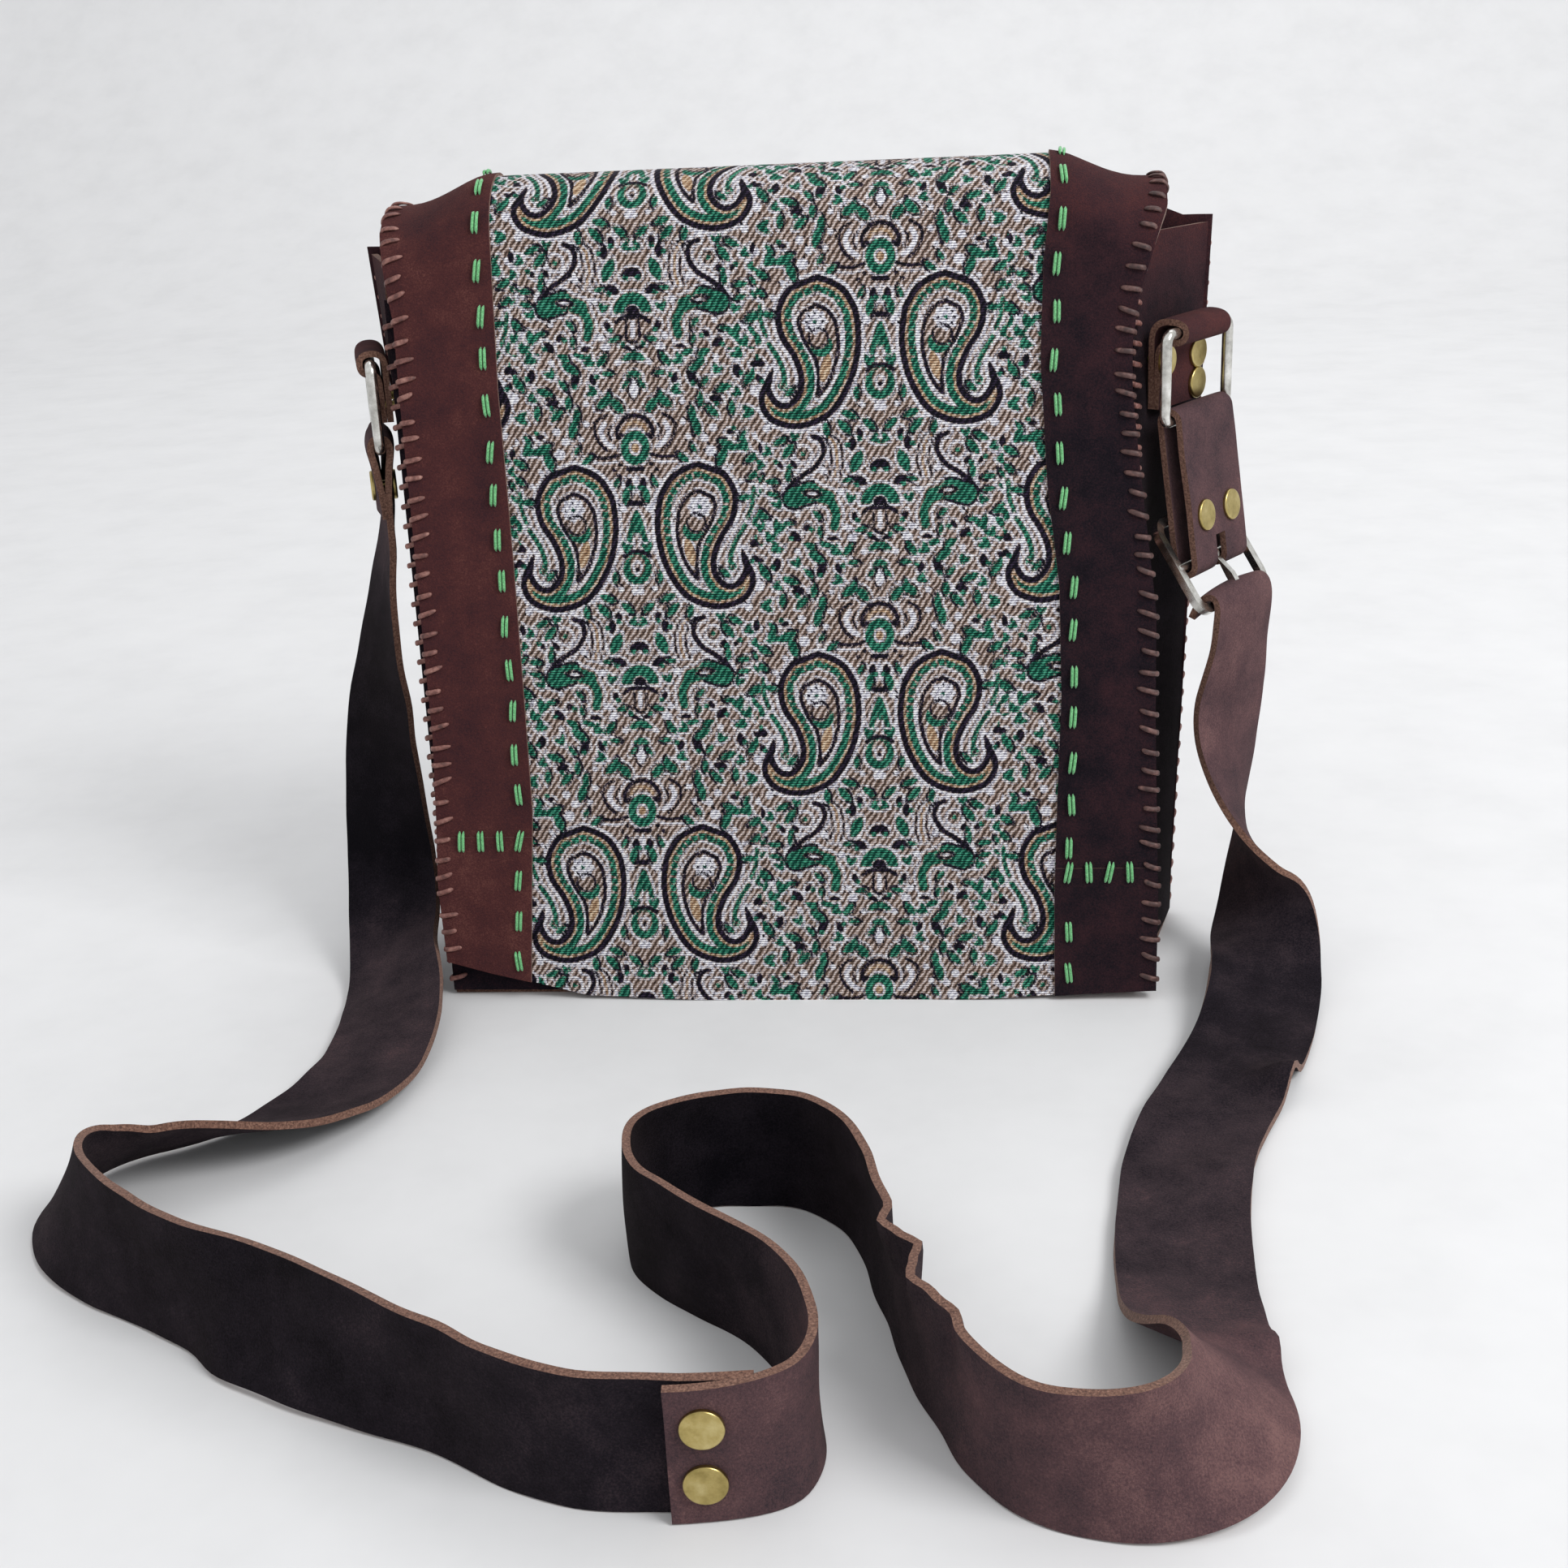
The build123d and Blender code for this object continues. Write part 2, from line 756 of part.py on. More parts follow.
# right strap: over the buckle's lower bar and in under the centre bar
def strap_right():
    frame = face_plane()
    low = (buckle_tall - buckle_bar) / 2
    clear = hypot(buckle_thick, buckle_bar) / 2 + bar_clear + strap_thick / 2
    way = buckle_plane.z_dir
    across = (way.X, way.Y, 0) if way.Y > 0 else (-way.X, -way.Y, 0)
    down = Vector(0, 0, -1)
    bar = Vector(*(frame * Pos(0, -low, 0)).position)
    out = Vector(buckle_plane.x_dir.X, buckle_plane.x_dir.Y, 0)
    ends = [
        bar + out * clear + down * clear * 3,
        bar + out * clear - down * clear,
        bar - out * clear - down * clear,
        bar - out * clear * 2 + down * clear,
    ]
    run = hang(bar, right_hang_steps, right_hang_shares, right_hang_ways)
    route = strap_right_route + run + [(tuple(p), across) for p in ends]
    body = strap_body(route, "strap_right")
    hole = Cylinder(shank / 2 + shank_clear, overrun)
    for place in joint_places():
        body -= place * hole
    slot_wide = prong_wide + slot_clear + slot_clear
    reach = clear * 6
    slot = frame * Pos(0, -low, 0) * Box(reach, reach, slot_wide)
    return body - slot


made = {
    "base_panel": base_panel(),
    "front_panel": front_panel(),
    "back_panel": back_panel(),
    "left_gusset": gusset(-1),
    "right_gusset": gusset(1),
    "front_left_lacing": seam_lacing(-1, False),
    "front_right_lacing": seam_lacing(1, False),
    "back_left_lacing": seam_lacing(-1, True),
    "back_right_lacing": seam_lacing(1, True),
    "flap_lining": flap_lining(),
    "flap_brocade": flap_brocade(),
    "flap_left_strip": flap_strip(-1),
    "flap_right_strip": flap_strip(1),
    "flap_left_patch": flap_patch(-1),
    "flap_right_patch": flap_patch(1),
    "flap_left_lacing": flap_lacing(-1),
    "flap_right_lacing": flap_lacing(1),
    "flap_left_stitches": flap_stitches(-1),
    "flap_right_stitches": flap_stitches(1),
    "left_tab": tab(-1),
    "right_tab": tab(1),
    "left_tab_rivets": tab_rivets(-1),
    "right_tab_rivets": tab_rivets(1),
    "left_ring": ring(-1),
    "right_ring": ring(1),
    "buckle_tab": buckle_tab(),
    "buckle_tab_rivets": buckle_tab_rivets(),
    "buckle_frame": buckle_frame(),
    "buckle_prong": buckle_prong(),
    "strap_left": strap_left(),
    "strap_left_rivet": strap_left_rivet(),
    "strap_right": strap_right(),
    "strap_joint_rivets": strap_joint_rivets(),
}
for name, shape in made.items():
    save(shape, name)
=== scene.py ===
import json
import math
import bmesh
import bpy
import numpy as np
from mathutils import Matrix


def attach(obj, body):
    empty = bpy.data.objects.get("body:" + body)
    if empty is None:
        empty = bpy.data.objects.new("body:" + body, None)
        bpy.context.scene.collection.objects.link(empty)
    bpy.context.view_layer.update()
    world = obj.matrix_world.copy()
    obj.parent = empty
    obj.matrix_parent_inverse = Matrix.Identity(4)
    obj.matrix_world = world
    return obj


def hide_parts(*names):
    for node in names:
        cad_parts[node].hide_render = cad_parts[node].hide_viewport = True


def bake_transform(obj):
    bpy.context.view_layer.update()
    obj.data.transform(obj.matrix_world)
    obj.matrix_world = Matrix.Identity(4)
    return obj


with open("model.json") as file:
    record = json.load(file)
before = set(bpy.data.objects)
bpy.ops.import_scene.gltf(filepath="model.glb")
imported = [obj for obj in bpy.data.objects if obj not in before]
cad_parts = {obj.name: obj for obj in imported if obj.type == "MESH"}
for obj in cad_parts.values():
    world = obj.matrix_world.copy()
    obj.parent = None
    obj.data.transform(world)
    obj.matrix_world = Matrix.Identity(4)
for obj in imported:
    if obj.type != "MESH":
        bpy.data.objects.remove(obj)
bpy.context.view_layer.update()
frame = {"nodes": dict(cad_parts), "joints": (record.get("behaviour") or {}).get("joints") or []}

joints = {row["name"]: row for row in frame["joints"]}
metre = 0.001


def shade(code):
    values = [int(code[i:i + 2], 16) / 255 for i in (1, 3, 5)]
    return tuple(v / 12.92 if v <= 0.04045 else ((v + 0.055) / 1.055) ** 2.4 for v in values) + (1.0,)


def unit(vectors):
    return vectors / np.maximum(np.linalg.norm(vectors, axis=-1, keepdims=True), 1e-9)


def along(table, at):
    spots = np.array(table)
    return np.interp(at, spots[:, 0], spots[:, 1])


def softNoise(points, size, seed):
    # smooth value noise on a seeded lattice, from -1 to 1
    cells = 24
    lattice = np.random.default_rng(seed).random((cells, cells, cells))
    spot = np.asarray(points) / size
    base = np.floor(spot).astype(int)
    part = spot - base
    part = part * part * (3 - 2 * part)
    total = 0.0
    for corner in range(8):
        step = np.array([corner & 1, corner >> 1 & 1, corner >> 2 & 1])
        weight = np.prod(np.where(step == 1, part, 1 - part), axis=-1)
        cell = (base + step) % cells
        total = total + weight * lattice[cell[..., 0], cell[..., 1], cell[..., 2]]
    return total * 2 - 1


def addSheet(form, grid):
    # a grid of faces laid on rows and columns of points
    rows, columns = grid.shape[:2]
    made = bmesh.ops.create_grid(form, x_segments=columns - 1, y_segments=rows - 1, size=1.0)["verts"]
    for vertex, place in zip(made, grid.reshape(-1, 3) * metre):
        vertex.co = place
    return made


def formMesh(name, form):
    mesh = bpy.data.meshes.new(name)
    form.to_mesh(mesh)
    form.free()
    return mesh


def makeObject(name, mesh, materials, sharp=0.0):
    for material in materials:
        mesh.materials.append(material)
    mesh.polygons.foreach_set("use_smooth", np.ones(len(mesh.polygons), dtype=bool))
    mesh.update()
    if sharp:
        mesh.set_sharp_from_angle(angle=math.radians(sharp))
    made = bpy.data.objects.new(name, mesh)
    bpy.context.scene.collection.objects.link(made)
    return made


def makePiece(name, mesh, materials, owner, nodes, sharp=0.0):
    # the owner is one body, which the piece is attached to, or the two it runs between and where it leaves
    # and joins them, and then the piece is only fixed where it lies
    made = makeObject(name, mesh, materials, sharp)
    if len(owner) == 4:
        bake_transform(made)
    else:
        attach(made, owner[0])
    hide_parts(*nodes)
    return made


rimAngle = 40.0  # an edge bent more than this is sharp


def gridNormals(grid):
    return unit(np.cross(np.gradient(grid, axis=0), np.gradient(grid, axis=1)))


def slab(name, grid, above, below, materials, owner, nodes, nap=0.4, hide=None):
    # a sheet of hide, extruded so that it has a raw cut rim, and nap is how pale its suede is painted:
    # painted sheen and shade that stand in for light catching the nap
    normal = gridNormals(grid)
    form = bmesh.new()
    paintedSheen = form.verts.layers.float.new("nap")
    drop = form.verts.layers.float_vector.new("drop")
    face = addSheet(form, grid + normal * above)
    paleness = np.broadcast_to(np.reshape(nap, (-1, 1)), grid.shape[:2])
    for vertex, value, way in zip(face, paleness.ravel(), normal.reshape(-1, 3)):
        vertex[paintedSheen] = value
        vertex[drop] = way * (above + below) * -metre
    if hide is not None:
        gone = [face for face, hidden in zip(form.faces, hide.ravel()) if hidden]
        bmesh.ops.delete(form, geom=gone, context="FACES")
    shown = form.faces[:]
    under = bmesh.ops.extrude_face_region(form, geom=shown + form.edges[:], use_keep_orig=True)["geom"]
    for part in under:
        if isinstance(part, bmesh.types.BMVert):
            part.co += part[drop]
    for rim in set(form.faces[:]) - set(shown) - set(under):
        rim.material_index = 1
    form.verts.layers.float_vector.remove(drop)
    bmesh.ops.recalc_face_normals(form, faces=form.faces[:])
    return makePiece(name, formMesh(name, form), materials, owner, nodes, rimAngle)


def threads(name, paths, wide, thick, material, owner, nodes):
    # many short laces or threads in one mesh, each path a line of points and their outward normals
    sides = 8
    turn = np.linspace(0, 2 * math.pi, sides + 1)[None, :, None]
    form = bmesh.new()
    for line, outward in paths:
        ahead = unit(np.gradient(line, axis=0))
        side = unit(np.cross(ahead, unit(outward)))
        up = np.cross(side, ahead)
        swell = np.sqrt(np.clip(1 - np.linspace(-1, 1, len(line)) ** 8, 0.12, 1))[:, None, None]
        ring = side[:, None] * np.cos(turn) * wide / 2 + up[:, None] * np.sin(turn) * thick / 2
        addSheet(form, line[:, None] + ring * swell)
    bmesh.ops.remove_doubles(form, verts=form.verts[:], dist=0.001 * metre)
    bmesh.ops.holes_fill(form, edges=[edge for edge in form.edges if edge.is_boundary], sides=sides)
    bmesh.ops.recalc_face_normals(form, faces=form.faces[:])
    return makePiece(name, formMesh(name, form), [material], owner, nodes)


def smoothLine(points, count):
    # an even Catmull-Rom line through the points
    spots = np.asarray(points, float)
    padded = np.concatenate([[2 * spots[0] - spots[1]], spots, [2 * spots[-1] - spots[-2]]])
    line = []
    for i in range(len(spots) - 1):
        p = padded[i:i + 4]
        t = np.linspace(0, 1, count, endpoint=False)[:, None]
        line.append(0.5 * (2 * p[1] + (p[2] - p[0]) * t + (2 * p[0] - 5 * p[1] + 4 * p[2] - p[3]) * t ** 2
                           + (3 * p[1] - p[0] - 3 * p[2] + p[3]) * t ** 3))
    return np.concatenate(line + [spots[-1:]])


def splineLine(points, steps):
    # a line drawn towards the points, as a spline that only its ends are on
    data = bpy.data.curves.new("route", "CURVE")
    data.dimensions = "3D"
    spline = data.splines.new("NURBS")
    spline.points.add(len(points) - 1)
    for spot, point in zip(spline.points, points):
        spot.co = (*[float(v) for v in point], 1.0)
    spline.order_u = 3
    spline.use_endpoint_u = True
    spline.resolution_u = steps
    holder = bpy.data.objects.new("route", data)
    mesh = bpy.data.meshes.new_from_object(holder)
    line = np.array([v.co[:] for v in mesh.vertices])
    bpy.data.meshes.remove(mesh)
    bpy.data.objects.remove(holder)
    bpy.data.curves.remove(data)
    return line


def pathLength(line):
    # how far along a line each of its points is
    return np.concatenate([[0], np.cumsum(np.linalg.norm(np.diff(line, axis=0), axis=1))])


def ribbonGrid(centres, acrosses, width, columns, wave, seed, cup=0.0):
    # a strip of hide along a line, with the way out of its face for each row
    ahead = unit(np.gradient(centres, axis=0))
    side = unit(acrosses - ahead * np.sum(acrosses * ahead, axis=1, keepdims=True))
    out = np.cross(ahead, side)
    offsets = np.linspace(-width / 2, width / 2, columns)
    edge = 1 + 0.012 * softNoise(centres, 9.0, seed)
    grid = centres[:, None] + side[:, None] * (offsets[None, :, None] * edge[:, None, None])
    bend = cup * ((2 * offsets / width) ** 2 - 0.35)
    grid = grid + out[:, None] * bend[None, :, None]
    ripple = wave * softNoise(grid, 13.0, seed + 1) + wave * softNoise(grid, 30.0, seed + 2)
    return grid + out[:, None] * ripple[..., None], out


def fillSockets(tree, node, links):
    for socket, source in links.items():
        if isinstance(source, bpy.types.NodeSocket):
            tree.links.new(source, node.inputs[socket])
        else:
            node.inputs[socket].default_value = source


def addNode(tree, kind, links=None, stops=(), **settings):
    made = tree.nodes.new(kind)
    for key, value in settings.items():
        setattr(made, key, value)
    fillSockets(tree, made, links or {})
    while stops and len(made.color_ramp.elements) < len(stops):
        made.color_ramp.elements.new(0.5)
    for element, (place, code) in zip(made.color_ramp.elements if stops else (), stops):
        element.position = place
        element.color = shade(code)
    return made


def newMaterial(name):
    material = bpy.data.materials.new(name)
    material.use_nodes = True
    tree = material.node_tree
    return material, tree, tree.nodes["Principled BSDF"]


def suedeMaterial(name, tones, nap=0.55):
    # napped leather: dull, with painted shade near black where the nap attribute is low and painted sheen
    # where it is high, a short grain and rubbed paler patches
    material, tree, surface = newMaterial(name)
    coords = addNode(tree, "ShaderNodeTexCoord").outputs["Object"]
    fibre = addNode(tree, "ShaderNodeTexNoise", {"Vector": coords, "Scale": 1 / (nap * metre), "Detail": 4.0,
                                                 "Roughness": 0.75}).outputs["Fac"]
    patch = addNode(tree, "ShaderNodeTexNoise", {"Vector": coords, "Scale": 1 / (14.0 * metre), "Detail": 5.0,
                                                 "Roughness": 0.65}).outputs["Fac"]
    # the nap attribute is painted sheen and shade, set piece by piece
    level = addNode(tree, "ShaderNodeAttribute", attribute_name="nap").outputs["Fac"]
    for source, most in ((patch, 0.16), (fibre, 0.2)):
        drift = addNode(tree, "ShaderNodeMapRange", {"Value": source, "From Min": 0.25, "From Max": 0.75,
                                                     "To Min": -most, "To Max": most}).outputs[0]
        level = addNode(tree, "ShaderNodeMath", {0: level, 1: drift}, operation="ADD").outputs[0]
    colour = addNode(tree, "ShaderNodeValToRGB", {"Fac": level}, tones).outputs["Color"]
    bump = addNode(tree, "ShaderNodeBump", {"Height": fibre, "Strength": 0.7, "Distance": 0.7 * metre})
    fillSockets(tree, surface, {"Base Color": colour, "Roughness": 0.95, "Specular IOR Level": 0.08,
                                "Sheen Weight": 0.05, "Sheen Roughness": 0.5, "Sheen Tint": shade("#c9a79b"),
                                "Normal": bump.outputs["Normal"]})
    return material


def grainMaterial(name, dark, mid, pale, size, roughness, bumpDepth, metallic=0.0, sheen=0.0):
    # one grain of a real size drives both the colour and the small unevenness of the surface
    material, tree, surface = newMaterial(name)
    coords = addNode(tree, "ShaderNodeTexCoord").outputs["Object"]
    grain = addNode(tree, "ShaderNodeTexNoise", {"Vector": coords, "Scale": 1 / (size * metre), "Detail": 4.0,
                                                 "Roughness": 0.65}).outputs["Fac"]
    tones = [(0.3, dark), (0.5, mid), (0.72, pale)]
    colour = addNode(tree, "ShaderNodeValToRGB", {"Fac": grain}, tones).outputs["Color"]
    bump = addNode(tree, "ShaderNodeBump", {"Height": grain, "Strength": 0.5, "Distance": bumpDepth * metre})
    fillSockets(tree, surface, {"Base Color": colour, "Roughness": roughness, "Metallic": metallic,
                                "Sheen Weight": sheen, "Normal": bump.outputs["Normal"]})
    return material


# jacquard threads as dark, middle and pale tone, partly their own colour and partly painted shade and
# highlight along the floats, and how ragged the edge of their fields is
threadTones = dict(pale=("#787689", "#dddde8", "#ffffff", 2.0), dark=("#020209", "#0d0b18", "#352b40", 1.5),
                   cream=("#634635", "#ad8b6b", "#e6d3b8", 1.8), green=("#011b18", "#095040", "#50a889", 2.0))
twillLook = dict(angle=34.0, pitch=1.7, pickPitch=0.78, thread=0.8, fuzz=0.5, cloud=3.2)
# twill ground from dark to pale along its ridges: partly the yarns' own colours, partly painted shade and
# highlight on the ridges
groundTones = [(0.26, "#2f2522"), (0.42, "#776256"), (0.56, "#a99388"), (0.76, "#e3d8d5")]
# painted shade in the gaps between threads, multiplied over the cloth
gapShadeTones = [(0.22, "#4c484a"), (0.48, "#f2f0f0"), (0.7, "#ffffff")]
waveRate = 3.18  # repeats of a wave texture in one unit at a scale of 1


def brocadeMaterial():
    # woven jacquard: a ridged tan twill ground, with lilac-white, navy, gold and green threads floated over
    # it in fields, its ridges and picks as coarse as they need to be to show, with painted shade between
    # the threads and painted shade and highlight along the ridges and floats
    material, tree, surface = newMaterial("jacquardBrocade")
    coords = addNode(tree, "ShaderNodeTexCoord").outputs["UV"]
    slant = (0, 0, math.radians(twillLook["angle"]))
    turned = addNode(tree, "ShaderNodeMapping", {"Vector": coords, "Rotation": slant}).outputs[0]
    drawn = addNode(tree, "ShaderNodeMapping", {"Vector": turned, "Scale": (2.2, 0.7, 1.0)}).outputs[0]
    bands = []
    for place, pitch, way, wobble in ((turned, twillLook["pitch"], "X", 3.0),
                                      (coords, twillLook["pickPitch"], "Y", 1.6)):
        links = {"Vector": place, "Scale": 1 / (pitch * metre) / waveRate, "Distortion": wobble,
                 "Detail": 2.0, "Detail Scale": 2.5}
        bands.append(addNode(tree, "ShaderNodeTexWave", links, bands_direction=way).outputs["Fac"])
    twill, picks = bands
    grains = []
    for place, size, rough in ((coords, twillLook["fuzz"], 0.6), (drawn, twillLook["thread"], 0.55),
                               (coords, twillLook["cloud"], 0.5)):
        grains.append(addNode(tree, "ShaderNodeTexNoise", {"Vector": place, "Scale": 1 / (size * metre),
                                                           "Detail": 2.0, "Roughness": rough}).outputs["Fac"])
    fuzz, thread, cloud = grains
    ridges = floats = cloud
    for source, share in ((thread, 0.75), (twill, 0.4)):
        ridges = addNode(tree, "ShaderNodeMix", {0: share, 2: ridges, 3: source}).outputs[0]
    for source, share in ((thread, 0.6), (twill, 0.22), (picks, 0.14)):
        floats = addNode(tree, "ShaderNodeMix", {0: share, 2: floats, 3: source}).outputs[0]
    # the ground's tone follows its ridges, partly as painted shade and highlight
    cloth = addNode(tree, "ShaderNodeValToRGB", {"Fac": ridges}, groundTones).outputs["Color"]
    shift = addNode(tree, "ShaderNodeMath", {0: fuzz, 1: 0.5}, operation="SUBTRACT").outputs[0]
    for key, (dark, mid, pale, ragged) in threadTones.items():
        field = addNode(tree, "ShaderNodeAttribute", attribute_name=key).outputs["Fac"]
        rough = addNode(tree, "ShaderNodeMath", {0: shift, 1: ragged, 2: field}, operation="MULTIPLY_ADD")
        inside = addNode(tree, "ShaderNodeMapRange", {"Value": rough.outputs[0], "From Min": 0.12,
                                                      "From Max": -0.12}).outputs[0]
        tones = [(0.3, dark), (0.5, mid), (0.68, pale)]
        # each thread's tone follows its floats, partly as painted shade and highlight
        colour = addNode(tree, "ShaderNodeValToRGB", {"Fac": floats}, tones).outputs["Color"]
        cloth = addNode(tree, "ShaderNodeMix", {0: inside, 6: cloth, 7: colour}, data_type="RGBA").outputs[2]
    # painted shade between the threads
    woven = addNode(tree, "ShaderNodeMix", {0: 0.45, 2: fuzz, 3: picks}).outputs[0]
    gapShade = addNode(tree, "ShaderNodeValToRGB", {"Fac": woven}, gapShadeTones).outputs["Color"]
    cloth = addNode(tree, "ShaderNodeMix", {0: 0.9, 6: cloth, 7: gapShade}, data_type="RGBA",
                    blend_type="MULTIPLY").outputs[2]
    height = addNode(tree, "ShaderNodeMix", {0: 0.6, 2: floats, 3: ridges}).outputs[0]
    bump = addNode(tree, "ShaderNodeBump", {"Height": height, "Strength": 0.7, "Distance": 0.6 * metre})
    fillSockets(tree, surface, {"Base Color": cloth, "Roughness": 0.7, "Specular IOR Level": 0.1,
                                "Normal": bump.outputs["Normal"]})
    return material


# dark suede of the bag, from near black in painted shade to oxblood in painted sheen, and the strap's, which
# is greyer
suede = suedeMaterial("darkSuede", [(0.0, "#06060c"), (0.25, "#1b161d"), (0.5, "#372227"), (0.75, "#4f2c2c"),
                                    (1.0, "#6f4640")])
strapSuede = suedeMaterial("strapSuede", [(0.0, "#06060d"), (0.25, "#1e1a21"), (0.5, "#3b3136"),
                                          (0.75, "#5a4346"), (1.0, "#7b5d5b")])
# flesh side of the hide, browner and with longer fibres
lining = suedeMaterial("fleshSide", [(0.0, "#241815"), (0.5, "#46302a"), (1.0, "#6b4d42")], 1.1)
# a cut through the hide: dull tan fibres that make a pale line along every edge
rawEdge = grainMaterial("rawCutEdge", "#3d2720", "#6b4b3e", "#93705f", 0.6, 0.95, 0.4, sheen=0.1)
# cut leather lace: smoother than the suede, with a soft shine, and a copy darkened with painted shade for the
# lace of the right edge
laceLeather = grainMaterial("laceLeather", "#4a2c29", "#7a4f48", "#a67b70", 2.4, 0.55, 0.25)
shadedLace = grainMaterial("shadedLaceLeather", "#2b1b1b", "#4d3330", "#785650", 2.4, 0.55, 0.25)
# spun embroidery thread: bright green, with a silky edge
greenThread = grainMaterial("greenThread", "#3f8a52", "#66b474", "#92cf98", 0.5, 0.6, 0.3, sheen=0.25)
# stamped brass caps with a soft warm shine, and bent plated wire, bright and nearly smooth
brass = grainMaterial("agedBrass", "#9c8b54", "#b7a469", "#cbbb84", 5.0, 0.3, 0.02, metallic=1.0)
silver = grainMaterial("silverWire", "#a9a7a1", "#cfcdc7", "#efeeea", 4.0, 0.24, 0.02, metallic=1.0)
weave = brocadeMaterial()
print("materials made")

# strap, the first of the soft pieces
strap = dict(width=35.0, thick=2.2, columns=15, wave=0.6, cup=0.9, steps=10)
upright = (0, 0, 1)
leftAcross = tuple(-v for v in joints["left_ring_swing"]["axis"])
rightAcross = tuple(-v for v in joints["right_ring_swing"]["axis"])

# where the middle of each strap runs and which way lies across it, from the left ring to the buckle
leftRoute = [((-136.10, 25.32, 155), leftAcross), ((-136.10, 25.32, 168.5), leftAcross),
             ((-138.58, 24.53, 181.6), leftAcross), ((-130.95, 26.95, 181.6), leftAcross),
             ((-133.43, 26.16, 168.5), leftAcross), ((-133.43, 26.16, 155), leftAcross),
             ((-139, 22, 120), (.5, -.87, 0)), ((-143, 16, 84), (.8, -.6, 0)),
             ((-142, 8, 46), (.93, -.36, 0)), ((-139, -6, 20), (.95, -.2, .15)),
             ((-135, -28, 9.5), (.86, -.2, .42)), ((-127, -58, 5.5), (.95, .05, .22)),
             ((-127, -94, 2.5), (.98, -.17, 0)), ((-140, -124, 6.5), (.75, -.6, .25)),
             ((-160, -139, 11.5), (.2, -.78, .58)), ((-180, -148, 13), (.35, -.7, .62)),
             ((-190, -168, 15), (.6, -.1, .79)), ((-176, -193, 17.4), (.3, .2, .93)),
             ((-138, -217, 18.1), upright), ((-110, -232, 17.6), (0, .4, .9)),
             ((-84, -245, 17.8), (0, .25, .97)), ((-62, -256, 17.8), upright), ((-40, -269, 17.8), upright),
             ((-17, -275, 17.8), upright), ((13, -271.5, 17.8), upright)]
rightRoute = [((-6, -276.6, 17.8), upright), ((17, -274.4, 17.8), upright), ((26, -258, 17.8), upright),
              ((20, -237, 17.8), upright), ((6, -216, 17.8), (.1, -.2, .97)), ((-14, -203, 17.8), upright),
              ((-29, -188, 17.8), upright), ((-30, -168, 17.8), upright), ((-15, -156, 17.8), upright),
              ((4, -153, 17.8), upright), ((21, -159, 17.8), upright), ((32, -176, 17.8), upright),
              ((37, -198, 17.8), upright), ((43, -221, 17.8), upright), ((51, -244, 17.8), upright),
              ((60, -263, 17.8), upright), ((74, -276, 17.8), upright),
              ((96, -278, 17.9), (-.05, .15, .98)), ((113, -266, 16.6), (-.4, .4, .82)),
              ((119, -247, 16.2), (-.65, .45, .6)), ((112, -222, 8.8), (-.9, .4, .1)),
              ((112, -192, 2), (-.98, .15, 0)), ((115, -158, 2), (-.98, .2, 0)),
              ((121, -126, 2), (-.96, .28, 0)), ((134, -97, 2.5), (-.95, .3, .02)),
              ((147, -66, 4), (-.97, .23, .1)), ((155, -34, 8), (-.85, .4, .3)),
              ((157, -6, 18), (-.75, .55, -.2)), ((152, 3, 38), (-.1, 1, -.2)),
              ((147, 7, 62), (.45, .89, 0)), ((145, 8.5, 84), (.68, .73, 0)),
              ((147.5, 9, 99), (.64, .77, 0)), ((149.0, 8.99, 112), rightAcross),
              ((149.4, 8.7, 126.3), rightAcross), ((143.27, 12.91, 126.3), rightAcross),
              ((140.41, 14.87, 118.83), rightAcross)]

# painted sheen and shade along each strap, how pale its suede is painted where light catches it or shade
# falls, as (share of its length, nap)
leftPaintedSheen = [(0, 0.62), (0.1, 0.6), (0.15, 0.1), (0.28, 0.0), (0.34, 0.4), (0.42, 0.45), (0.52, 0.3),
               (0.6, 0.35), (0.66, 0.2), (0.75, 0.12), (0.9, 0.2), (1, 0.3)]
rightPaintedSheen = [(0, 0.7), (0.06, 0.62), (0.1, 0.3), (0.17, 0.05), (0.24, 0.12), (0.3, 0.2), (0.38, 0.5),
                (0.44, 0.7), (0.5, 0.85), (0.54, 0.65), (0.6, 0.42), (0.7, 0.38), (0.76, 0.2), (0.82, 0.3),
                (0.88, 0.62), (0.93, 0.75), (1, 0.75)]

# creases in the hide, as (x, y, offset from the middle, height, half length, half width)
leftCreases = [(-168, -142, 10, 1.6, 7, 9), (-120, -226, -14, 1.8, 9, 7), (-60, -257, 16, -1.5, 8, 6)]
rightCreases = [(138, -90, -17, 8, 7, 9), (126, -112, 6, 1.5, 10, 12), (118, -140, -10, 1.6, 9, 10),
                (41, -214, 16, 3.0, 3.5, 8), (44, -224, 17, -3.2, 3.5, 9), (48, -236, 15, 3.0, 4, 10),
                (54, -250, 12, -2.4, 4.5, 12), (112, -222, -15, 3.0, 5, 8)]


